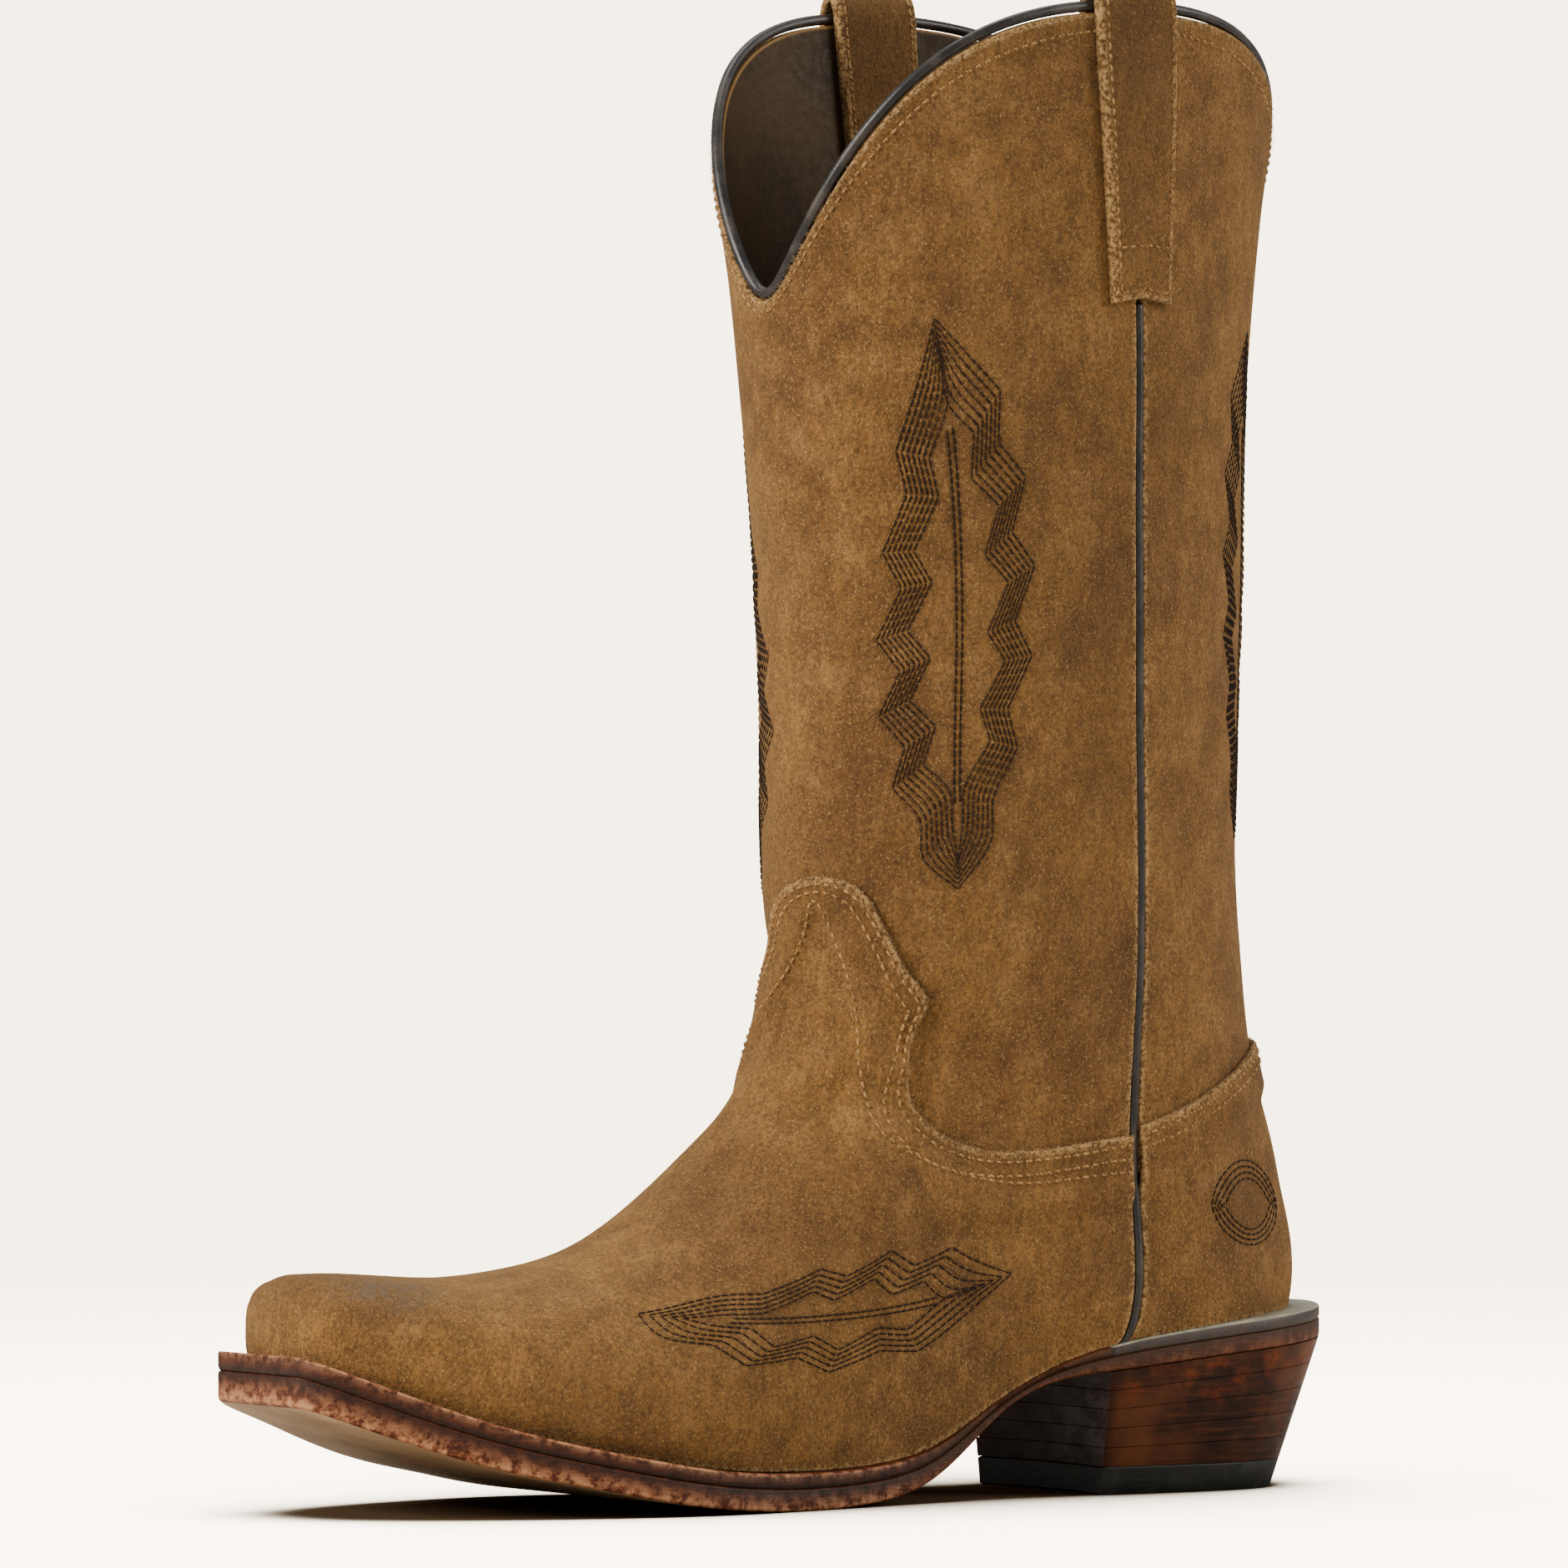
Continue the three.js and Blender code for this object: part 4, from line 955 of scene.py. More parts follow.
def leaf(panel, rows, root, tip, width, teeth, gap=1.2):
    """Rows of stitches round a pointed leaf from root to tip, both (a, t): its width and the gap between
    rows are in millimetres, and each long side has the same number of even teeth."""
    root, tip = np.array(root) * MM, np.array(tip) * MM
    along = tip - root
    side = np.array([-along[1], along[0]]) / np.linalg.norm(along)
    inset = (rows - 1) * gap
    shrink = 2.2 * inset / np.linalg.norm(along)
    count = 2 * teeth if teeth else 12
    u = np.arange(1, count + 1) / (count + 1)
    half = width / 2 * np.sin(np.pi * u) ** 0.6
    if teeth:
        half[1::2] *= 0.72
    half, u = np.concatenate([[0], half, [0]]), np.concatenate([[0], u, [1]])
    outline, inside = [], []
    for hand, order in ((1, slice(None)), (-1, slice(-2, None, -1))):
        for place, reach in zip(u[order], half[order]):
            outline.append((root + along * place + side * hand * reach) / MM)
            within = 0.5 + (place - 0.5) * (1 - shrink)
            inside.append((root + along * within + side * hand * max(reach - inset, 0)) / MM)
    return Band(panel, rows, outline, inside)


BANDS = []


def bands():
    """Every stitched band on the boot, both sides."""
    if BANDS:
        return BANDS

    def flip(a, t):
        return 2 * centre(t) - a, t

    def flip_back(a, t):
        return 2 - a, t

    def to_back(a, t):
        return 1 - (a - centre(t)) * 0.98, 0.288 + (t - 0.216) * 0.86

    front = [leaf("shaft_front", 7, (0.22, 0.38), (0.22, 0.86), 40, 6),
             vein("shaft_front", [(0.22, 0.46), (0.22, 0.62), (0.22, 0.78)])]
    back = [band.turned(to_back) for band in front]
    for band in back:
        band.panel = "shaft_back"
    vamp = [leaf("vamp", 5, (0.12, 0.12), (0.40, 0.12), 24, 4),
            vein("vamp", [(0.18, 0.12), (0.26, 0.12), (0.34, 0.12)], 0.006)]
    heel = [leaf("counter_cover", 4, (0.66, 0.14), (0.86, 0.14), 18, 0)]
    BANDS.extend(front + vamp + back + heel)
    BANDS.extend([b.turned(flip) for b in front + vamp] + [b.turned(flip_back) for b in back + heel])
    return BANDS


def new_tree(name, inputs):
    """A Geometry Nodes group with named inputs; gives the tree, its input node and sockets by name."""
    tree = bpy.data.node_groups.new(name, "GeometryNodeTree")
    tree.interface.new_socket("Geometry", in_out="INPUT", socket_type="NodeSocketGeometry")
    for key, kind in inputs:
        tree.interface.new_socket(key, in_out="INPUT", socket_type=kind)
    tree.interface.new_socket("Geometry", in_out="OUTPUT", socket_type="NodeSocketGeometry")
    start = tree.nodes.new("NodeGroupInput")
    return tree, start.outputs


def stitch_tree():
    """Stitches from needle hole to needle hole along the edges of a mesh."""
    tree, given = new_tree("stitches", [
        ("Stitch", "NodeSocketFloat"), ("Thread", "NodeSocketFloat"), ("Bite", "NodeSocketFloat"),
        ("Material", "NodeSocketMaterial"),
    ])
    curve = add(tree, "GeometryNodeMeshToCurve", None, {"Mesh": given["Geometry"]})
    holes = add(tree, "GeometryNodeResampleCurve", {"mode": "LENGTH"}, {
        "Curve": curve.outputs["Curve"], "Length": given["Stitch"],
    })
    line = add(tree, "GeometryNodeCurveToMesh", None, {"Curve": holes.outputs["Curve"]})
    ends = add(tree, "GeometryNodeInputMeshEdgeVertices").outputs
    way = add(tree, "ShaderNodeVectorMath", {"operation": "SUBTRACT"}, {
        0: ends["Position 2"], 1: ends["Position 1"],
    }).outputs["Vector"]
    out = add(tree, "GeometryNodeInputNamedAttribute", {"data_type": "FLOAT_VECTOR"}, {"Name": "out"})
    kept = line.outputs["Mesh"]
    for key, value in (("way", way), ("lift", out.outputs["Attribute"])):
        kept = add(tree, "GeometryNodeStoreNamedAttribute", {"data_type": "FLOAT_VECTOR", "domain": "EDGE"}, {
            "Geometry": kept, "Name": key, "Value": value,
        }).outputs["Geometry"]
    points = add(tree, "GeometryNodeMeshToPoints", {"mode": "EDGES"}, {"Mesh": kept})
    way, lift = (add(tree, "GeometryNodeInputNamedAttribute", {"data_type": "FLOAT_VECTOR"}, {
        "Name": key,
    }).outputs["Attribute"] for key in ("way", "lift"))
    turn = add(tree, "FunctionNodeAlignRotationToVector", {"axis": "Z"}, {"Vector": way}).outputs["Rotation"]
    turn = add(tree, "FunctionNodeAlignRotationToVector", {"axis": "X", "pivot_axis": "Z"}, {
        "Rotation": turn, "Vector": lift,
    }).outputs["Rotation"]
    run = add(tree, "ShaderNodeVectorMath", {"operation": "LENGTH"}, {0: way}).outputs["Value"]
    run = maths(tree, "MULTIPLY", run, given["Bite"])
    scale = add(tree, "ShaderNodeCombineXYZ", None, {"X": given["Thread"], "Y": given["Thread"], "Z": run})

    # One stitch: a short thread, tapered and bent down into the leather at both ends.
    strand = add(tree, "GeometryNodeMeshCylinder", None, {
        "Vertices": 6, "Side Segments": 4, "Radius": 0.5, "Depth": 1.0,
    })
    at = add(tree, "GeometryNodeInputPosition").outputs["Position"]
    parts = add(tree, "ShaderNodeSeparateXYZ", None, {"Vector": at}).outputs
    end = maths(tree, "POWER", maths(tree, "MULTIPLY", maths(tree, "ABSOLUTE", parts["Z"]), 2.0), 3.0)
    thin = maths(tree, "SUBTRACT", 1.0, maths(tree, "MULTIPLY", end, 0.45))
    x = maths(tree, "SUBTRACT", maths(tree, "MULTIPLY", parts["X"], thin), maths(tree, "MULTIPLY", end, 0.55))
    bent = add(tree, "ShaderNodeCombineXYZ", None, {
        "X": x, "Y": maths(tree, "MULTIPLY", parts["Y"], thin), "Z": parts["Z"],
    })
    strand = add(tree, "GeometryNodeSetPosition", None, {
        "Geometry": strand.outputs["Mesh"], "Position": bent.outputs["Vector"],
    })
    sewn = add(tree, "GeometryNodeInstanceOnPoints", None, {
        "Points": points.outputs["Points"], "Instance": strand.outputs["Geometry"], "Rotation": turn,
        "Scale": scale.outputs["Vector"],
    })
    real = add(tree, "GeometryNodeRealizeInstances", None, {"Geometry": sewn.outputs["Instances"]})
    done = add(tree, "GeometryNodeSetMaterial", None, {
        "Geometry": real.outputs["Geometry"], "Material": given["Material"],
    })
    add(tree, "NodeGroupOutput", None, {"Geometry": done.outputs["Geometry"]})
    return tree


def fibre_tree():
    """Loose fibres standing on the points of a line, thinner at their tips and all a little different."""
    tree, given = new_tree("fibres", [
        ("Spacing", "NodeSocketFloat"), ("Fibre", "NodeSocketFloat"), ("Width", "NodeSocketFloat"),
        ("Seed", "NodeSocketInt"), ("Material", "NodeSocketMaterial"),
    ])
    curve = add(tree, "GeometryNodeMeshToCurve", None, {"Mesh": given["Geometry"]})
    line = add(tree, "GeometryNodeResampleCurve", {"mode": "LENGTH"}, {
        "Curve": curve.outputs["Curve"], "Length": given["Spacing"],
    })
    lift = add(tree, "GeometryNodeInputNamedAttribute", {"data_type": "FLOAT_VECTOR"}, {"Name": "out"})
    turn = add(tree, "FunctionNodeAlignRotationToVector", {"axis": "Z"}, {"Vector": lift.outputs["Attribute"]})
    lean = add(tree, "FunctionNodeRandomValue", {"data_type": "FLOAT_VECTOR"}, {
        0: (-1.0, -1.0, -1.0), 1: (1.0, 1.0, 1.0), "Seed": given["Seed"],
    }).outputs["Value"]
    turn = add(tree, "FunctionNodeRotateRotation", {"rotation_space": "LOCAL"}, {
        "Rotation": turn.outputs["Rotation"], "Rotate By": lean,
    }).outputs["Rotation"]
    other = add(tree, "ShaderNodeMath", {"operation": "ADD"}, {0: given["Seed"], 1: 7.0}).outputs[0]
    share = add(tree, "FunctionNodeRandomValue", {"data_type": "FLOAT"}, {2: 0.35, 3: 1.0, "Seed": other})
    scale = add(tree, "ShaderNodeCombineXYZ", None, {
        "X": given["Width"], "Y": given["Width"], "Z": maths(tree, "MULTIPLY", given["Fibre"], share.outputs[1]),
    })
    hair = add(tree, "GeometryNodeMeshCone", None, {
        "Vertices": 3, "Side Segments": 2, "Radius Top": 0.12, "Radius Bottom": 0.5, "Depth": 1.0,
    })
    grown = add(tree, "GeometryNodeInstanceOnPoints", None, {
        "Points": line.outputs["Curve"], "Instance": hair.outputs["Mesh"], "Rotation": turn,
        "Scale": scale.outputs["Vector"],
    })
    real = add(tree, "GeometryNodeRealizeInstances", None, {"Geometry": grown.outputs["Instances"]})
    done = add(tree, "GeometryNodeSetMaterial", None, {
        "Geometry": real.outputs["Geometry"], "Material": given["Material"],
    })
    add(tree, "NodeGroupOutput", None, {"Geometry": done.outputs["Geometry"]})
    return tree


TREES = {}


def grown(name, paths, tree_name, inputs, slot):
    """Runs a tree over paths, each (points, directions) in metres, and keeps the result as a plain piece."""
    if tree_name not in TREES:
        TREES[tree_name] = {"stitches": stitch_tree, "fibres": fibre_tree}[tree_name]()
    tree = TREES[tree_name]
    points = np.concatenate([p for p, _ in paths])
    ways = np.concatenate([n for _, n in paths])
    edges, start = [], 0
    for p, _ in paths:
        edges += [(start + k, start + k + 1) for k in range(len(p) - 1)]
        start += len(p)
    mesh = bpy.data.meshes.new(name + "_paths")
    mesh.from_pydata(points.tolist(), edges, [])
    mesh.attributes.new("out", "FLOAT_VECTOR", "POINT").data.foreach_set("vector", ways.astype(np.float32).ravel())
    obj = bpy.data.objects.new(name, mesh)
    bpy.context.scene.collection.objects.link(obj)
    made = obj.modifiers.new("growth", "NODES")
    made.node_group = tree
    sockets = {i.name: i.identifier for i in tree.interface.items_tree if i.in_out == "INPUT"}
    for key, value in inputs.items():
        made[sockets[key]] = value
    bpy.context.view_layer.update()
    result = bpy.data.meshes.new_from_object(obj.evaluated_get(bpy.context.evaluated_depsgraph_get()))
    if not len(result.polygons):
        raise RuntimeError(f"{name} came out empty")
    obj.modifiers.remove(made)
    obj.data = result
    result.name = name
    result.polygons.foreach_set("use_smooth", np.full(len(result.polygons), True))
    bpy.data.meshes.remove(mesh)
    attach(obj, "root")
    return obj


def surface_of(name):
    mesh = bpy.data.objects[name].data
    return BVHTree.FromPolygons([v.co for v in mesh.vertices], [p.vertices for p in mesh.polygons])


def laid(places, tree, lift, keep=0.007):
    """Paths of points in the frame snapped on to a surface and raised by lift millimetres; a path is cut
    where the surface ends."""
    made, p, n = [], [], []

    def close():
        if len(p) > 1:
            made.append((np.array(p), np.array(n)))
        p.clear()
        n.clear()

    for path in places:
        for q in path:
            near, facing, _, away = tree.find_nearest(Vector(q))
            if near is None or away > keep:
                close()
                continue
            p.append(near + facing * lift / 1000)
            n.append(facing)
        close()
    return made


def fine(path, step=1.2):
    """A path of (a, t) corners with points between them."""
    path = np.asarray(path, float)
    gaps = np.linalg.norm(np.diff(skin(path[:, 0], path[:, 1]), axis=0), axis=-1)
    parts = [lerp(p, q, np.arange(n)[:, None] / n)
             for p, q, n in zip(path, path[1:], np.maximum((gaps / step).astype(int), 2))]
    return np.vstack([*parts, path[-1:]])


def runs(path, kept):
    """The stretches of a path, in the frame and just outside the leather, whose places are kept."""
    cuts = np.flatnonzero(np.diff(np.concatenate([[0], kept.astype(int), [0]])))
    return [placed(over(path[i:j, 0], path[i:j, 1], 3.0)) for i, j in zip(cuts[::2], cuts[1::2]) if j - i > 2]


def clear_of_vamp(path):
    """Where a path lies above the vamp's edge."""
    a, t = (EAR_LINE / MM).T
    order = np.argsort(a)
    return path[:, 1] > np.interp(path[:, 0], a[order], t[order]) + 0.006


def above(line):
    """A line of (a, t) in the frame, just outside the leather."""
    a, t = line
    return placed(over(a, t, 3.0))


PATTERN_PANELS = {"shaft_front": "shaft_front_panel", "shaft_back": "shaft_back_panel", "vamp": "vamp_cover",
                  "counter_cover": "counter_cover_leather"}


class BOOT_OT_pattern(bpy.types.Operator):
    """Dark rows of stitching round plain leaves on shaft, vamp and counter"""
    bl_idname = "boot.pattern"
    bl_label = "Pattern stitching"

    def execute(self, context):
        inputs = {"Stitch": size("stitch") / 1000, "Thread": size("thread") / 1000, "Bite": 0.96,
                  "Material": stock("dark_thread")}
        for panel, obj in PATTERN_PANELS.items():
            surface = surface_of(obj)
            for side in ("outer", "inner"):
                places = []
                for band in bands():
                    at_back = panel in ("shaft_back", "counter_cover")
                    middle = band.corners[:, 0].mean()
                    hand = np.sign(1 - middle if at_back else middle)
                    if band.panel != panel or (hand > 0) != (side == "outer"):
                        continue
                    for path in band.paths():
                        path = fine(path)
                        a, t = path.T
                        kept = hand * ((1 - a) if at_back else (a - centre(t))) > -0.001
                        if panel == "shaft_front":
                            kept &= clear_of_vamp(path)
                        places += runs(path, kept)
                grown(f"{panel}_{side}_pattern", laid(places, surface, 0.12), "stitches", inputs, "suede")
        return {"FINISHED"}


INNER_ROW = [(0.045, 0.395), (0.066, 0.352), (0.0875, 0.3075), (0.108, 0.281), (0.131, 0.261), (0.18, 0.236),
             (0.283, 0.204), (0.39, 0.176), (0.498, 0.163)]


class BOOT_OT_seams(bpy.types.Operator):
    """Tan stitching of the laps, topline and pull straps"""
    bl_idname = "boot.seams"
    bl_label = "Seam stitching"

    def execute(self, context):
        inputs = {"Stitch": 0.0027, "Thread": 0.0008, "Bite": 0.78, "Material": stock("tan_thread")}
        u = np.linspace(0.008, 0.992, 420)
        vamp = [above(vamp_top(inset, EAR_LINE)(u)) for inset in (1.9, 4.2)]
        vamp.append(above((both_sides(INNER_ROW) / MM)[::4].T))
        counter = [above(counter_top(inset)(u)) for inset in (1.9, 4.2)]
        front = above((np.linspace(-0.487, 0.487, 400), np.full(400, 0.9885)))
        back = above((np.linspace(0.52, 1.48, 300), np.full(300, 0.9885)))
        for name, obj, places in (("vamp_seam", "vamp_cover", vamp),
                                  ("counter_seam", "counter_cover_leather", counter),
                                  ("front_topline_seam", "shaft_front_panel", [front]),
                                  ("back_topline_seam", "shaft_back_panel", [back])):
            grown(name + "_stitches", laid(places, surface_of(obj), 0.1), "stitches", inputs, "suede")
        for side, node in ((1, "pull_strap_lateral"), (-1, "pull_strap_medial")):
            s = np.linspace(0.015, 0.985, 160)
            lines = [(np.full(160, e), s) for e in (-0.84, 0.84)]
            across = np.linspace(-0.84, 0.84, 24)
            lines += [(across, np.full(24, v)) for v in (0.015, 0.085, 0.915, 0.985)]
            places = []
            for v, w in lines:
                p, out = strap_path(side, v, w)
                places.append(placed(p + out * (size("strap_thickness") / 2 + 0.2)))
            grown(f"{node}_stitches", laid(places, surface_of(f"{node}_leather"), 0.1), "stitches", inputs, "suede")
        return {"FINISHED"}


class BOOT_OT_fibres(bpy.types.Operator):
    """Pale frayed fibres on the cut edges of the suede"""
    bl_idname = "boot.fibres"
    bl_label = "Frayed edges"

    def execute(self, context):
        edges = {
            "front_topline": ("shaft_front_panel", [(np.linspace(-0.487, 0.487, 500), np.full(500, 0.9975))], 0.0013),
            "back_topline": ("shaft_back_panel", [(np.linspace(0.52, 1.48, 400), np.full(400, 0.9975))], 0.0013),
            "vamp_edge": ("vamp_cover", [vamp_top(0.25, EAR_LINE)(np.linspace(0.01, 0.99, 400))], 0.0008),
            "counter_edge": ("counter_cover_leather", [counter_top(0.25)(np.linspace(0.01, 0.99, 300))], 0.0008),
        }
        for k, (name, (obj, lines, fibre)) in enumerate(edges.items()):
            surface = surface_of(obj)
            paths = laid([above(line) for line in lines], surface, 0.0)
            for turn in range(3):
                grown(f"{name}_fibres_{turn + 1}", paths, "fibres", {
                    "Spacing": (0.00041, 0.00053, 0.00067)[turn], "Fibre": fibre, "Width": 0.00011,
                    "Seed": 11 + 5 * k + turn, "Material": stock("fibres"),
                }, "suede")
        return {"FINISHED"}


# ---- upper ----------------------------------------------------------------------------------------
def blob(p, centre, reach_mm):
    """Soft patch round a place in the frame; reach_mm is its size along x, y and z."""
    q = (p * 1000 - np.array(centre)) / np.array(reach_mm)
    return np.exp(-(q * q).sum(-1))


# Handled and scuffed places in the frame, in millimetres: centre, reach, strength.
HANDLED = [
    ((2, -132, 56), (26, 15, 7), 0.5), ((34, -75, 30), (12, 22, 10), 0.4), ((20, -30, 75), (18, 25, 14), 0.3),
    ((-6, -2, 150), (14, 14, 34), 0.5), ((28, -6, 160), (14, 14, 30), 0.38), ((44, 64, 190), (8, 10, 50), 0.35),
    ((46, 80, 270), (10, 12, 22), 0.5), ((20, 140, 190), (22, 14, 60), 0.35), ((30, 120, 70), (10, 14, 8), 0.5),
    ((38, 70, 60), (12, 18, 12), 0.25), ((0, 145, 60), (20, 14, 18), 0.3), ((-30, -75, 30), (12, 22, 10), 0.4),
    ((-40, 10, 170), (10, 22, 50), 0.3),
]
SMEARS = [((17, -124, 56), (9, 12, 6), 0.85), ((33, 112, 76), (6, 12, 3), 0.5), ((-16, -124, 56), (8, 12, 5), 0.3)]


def marks(grid):
    """Values for the suede over a grid: where it is handled and where it is scuffed."""
    a, t, d = grid
    p = placed(over(a, t, d))
    def total(spots):
        return np.clip(sum(s * blob(p, c, r) for c, r, s in spots), 0, 1)
    return {"burnish": total(HANDLED), "smear": total(SMEARS), **rows_on(a, t)}


def rows_on(a, t):
    """How far across a stitched band each place lies, in rows, and whether it lies in one."""
    row, groove = np.zeros_like(a), np.zeros_like(a)
    for band in bands():
        near, far = band.at_row(-0.5), band.at_row(band.rows - 0.5)
        for k in range(len(near) - 1):
            for corner, value in (((near[k], near[k + 1], far[k]), (-0.5, -0.5, band.rows - 0.5)),
                                  ((near[k + 1], far[k + 1], far[k]), (-0.5, band.rows - 0.5, band.rows - 0.5))):
                c = np.array(corner)
                lo, hi = c.min(0), c.max(0)
                i = np.nonzero((a >= lo[0]) & (a <= hi[0]) & (t >= lo[1]) & (t <= hi[1]))
                edges = np.stack([c[1] - c[0], c[2] - c[0]], -1)
                if not len(i[0]) or abs(np.linalg.det(edges)) < 1e-9:
                    continue
                w = np.linalg.solve(edges, np.stack([a[i] - c[0, 0], t[i] - c[0, 1]]))
                inside = (w[0] >= 0) & (w[1] >= 0) & (w.sum(0) <= 1)
                hit = tuple(k[inside] for k in i)
                row[hit] = value[0] + w[0][inside] * (value[1] - value[0]) + w[1][inside] * (value[2] - value[0])
                groove[hit] = 1
    return {"row": row, "groove": groove}


class BOOT_OT_shaft(bpy.types.Operator):
    """Front and back panels of the shaft"""
    bl_idname = "boot.shaft"
    bl_label = "Shaft panels"

    def execute(self, context):
        room = size("piping_radius") + 0.05
        lap = size("lap")
        front = woven([cleared(line, False, room) for line in (
            vamp_top(lap), vamp_top(0), front_at(0.5), front_at(1.0))], [OUT] * 4, size("pitch"), 250)
        leather("shaft_front_panel", front, size("leather"), 0.6, stock("suede"), "suede", "shaft_front",
                marks(front))
        back = woven([cleared(line, True, room) for line in (
            counter_top(lap), counter_top(0), back_at(0.5), back_at(1.0))], [OUT] * 4, size("pitch"), 180)
        leather("shaft_back_panel", back, size("leather"), 0.6, stock("suede"), "suede", "shaft_back",
                marks(back))
        return {"FINISHED"}


class BOOT_OT_foot_leather(bpy.types.Operator):
    """Vamp over the toe and instep, and counter cover round the heel"""
    bl_idname = "boot.foot_leather"
    bl_label = "Vamp and counter cover"

    def execute(self, context):
        room = size("piping_radius") + 0.05
        lap = size("lap")
        vamp = woven([cleared(line, False, room) for line in (
            toe_line, vamp_top(lap + 5), vamp_top(lap + 0.3), vamp_top(0, EAR_LINE))],
            [OUT, OUT, OVER, OVER], size("pitch"), 250)
        leather("vamp_cover", vamp, size("leather"), 0.45, stock("suede"), "suede", "vamp", marks(vamp))
        counter = woven([cleared(line, True, room) for line in (
            back_at(0.0), counter_top(lap + 5), counter_top(lap + 0.3), counter_top(0))],
            [OUT, OUT, OVER, OVER], size("pitch"), 180)
        leather("counter_cover_leather", counter, size("leather"), 0.45, stock("suede"), "suede",
                "counter_cover", marks(counter))
        return {"FINISHED"}


class BOOT_OT_linings(bpy.types.Operator):
    """Vamp lining and the front and back linings of the shaft"""
    bl_idname = "boot.linings"
    bl_label = "Linings"

    def execute(self, context):
        lap = size("lap")
        pieces = {
            "vamp_lining": (False, (toe_line, vamp_top(lap + 2)), (DEEP, DEEP)),
            "shaft_lining_front": (False, (vamp_top(lap), vamp_top(0), front_at(0.5), front_at(1.0)), (SKIN,) * 4),
            "shaft_lining_back": (True, (back_at(0.0), counter_top(lap + 2), counter_top(-14), back_at(1.0)),
                                  (DEEP, DEEP, SKIN, SKIN)),
        }
        for node, (at_back, lines, offsets) in pieces.items():
            grid = woven([cleared(line, at_back, 0.4) for line in lines], offsets, 2.4, 230)
            inside_out(node + "_leather", grid, size("lining"), stock("lining"), "lining", node)
        return {"FINISHED"}


def inside_out(name, grid, thickness, materials, slot, node):
    """A lining: its fine side faces into the boot."""
    a, t, d = (g[:, ::-1] for g in grid)
    e = border_distance(skin(a, t))
    inner = over(a, t, d + rounded(e, 0.3))
    outer = over(a, t, d + thickness)[::2, ::2]
    return closed_sheet(name, inner, outer, e, materials, slot, node)


class BOOT_OT_trims(bpy.types.Operator):
    """Piping in both side seams and the bead round the topline"""
    bl_idname = "boot.trims"
    bl_label = "Piping and bead"

    def execute(self, context):
        r = size("piping_radius")
        for side, node in ((1, "piping_lateral"), (-1, "piping_medial")):
            t = np.linspace(0.004, 0.783, 420)
            n = normal(side * 0.5, t)
            across = skin(side * 0.506, t) - skin(side * 0.494, t)
            across /= np.linalg.norm(across, axis=-1, keepdims=True)
            centres = over(side * 0.5, t, 1.0)
            grow = np.clip(np.minimum(t - 0.004, 0.783 - t) / 0.002, 0.35, 1)[:, None]
            tube(f"{node}_welt", centres, n, across * side, r * grow, r * grow, 14,
                 stock("trim"), "dark_trim", node)
        r = size("bead_radius")
        for node, a in (("topline_bead_front", np.linspace(-0.4885, 0.4885, 721)),
                        ("topline_bead_back", np.linspace(0.5155, 1.4845, 481))):
            p = skin(a, 1.0)
            n = normal(a, 1.0)
            ahead, behind = skin(a + 0.004, 1.0) - p, p - skin(a - 0.004, 1.0)
            risers = [np.cross(n, e) for e in (ahead, behind)]
            risers = [e / np.linalg.norm(e, axis=-1, keepdims=True) for e in risers]
            mean = risers[0] + risers[1]
            mean /= np.linalg.norm(mean, axis=-1, keepdims=True)
            mean *= np.where(mean[:, 2:] < 0, -1, 1)
            mitre = 1 / np.maximum(np.abs((mean * risers[0]).sum(-1, keepdims=True)), 0.6)
            centres = p + mean * mitre * (r + 0.35)
            tube(f"{node}_cord", centres, mean * mitre, -n, np.full_like(mitre, r), np.full_like(mitre, r), 14,
                 stock("trim"), "dark_trim", node)
        return {"FINISHED"}


def strap_path(side, u, s):
    """Points of a pull strap's middle line and its outward direction: s runs from its outer foot (0) over
    the top to its inner foot (1), u across from -1 to 1. Returns points and directions in millimetres."""
    thick = size("strap_thickness")
    outer, inner = OUT + size("leather") + 0.25, SKIN - 0.3
    leg_mm, arc_mm = 70.0, 14.0
    total = 2 * leg_mm + arc_mm
    run = s * total
    up = np.clip(run / leg_mm, 0, 1)
    down = np.clip((run - leg_mm - arc_mm) / leg_mm, 0, 1)
    turn = np.clip((run - leg_mm) / arc_mm, 0, 1) * np.pi
    q = np.where(run < leg_mm + arc_mm / 2, up, 1 - down)
    t = lerp(0.785, 1.0, q)
    half = lerp(size("strap_width") / 2 - 2, size("strap_width") / 2, q)
    a = side * 0.5 + u * half / ring_scale(side, 0, t)
    sag = skin(a, t)[..., 2] - skin(side * 0.5, t)[..., 2] + 1.6 * (np.abs(u) - 0.35) * (1 - q) ** 2
    base = over(a, t - sag / 329 * ease((1 - q) * 6), 0)
    n = normal(side * 0.5, t)
    mid, spread = (outer + inner) / 2, (outer - inner) / 2 + thick / 2
    d = mid + spread * np.cos(turn)
    rise = (6.4 + thick / 2) * np.sin(turn)
    points = base + n * d[..., None]
    points[..., 2] += rise
    out = n * np.cos(turn)[..., None]
    out[..., 2] += np.sin(turn)
    return points, out


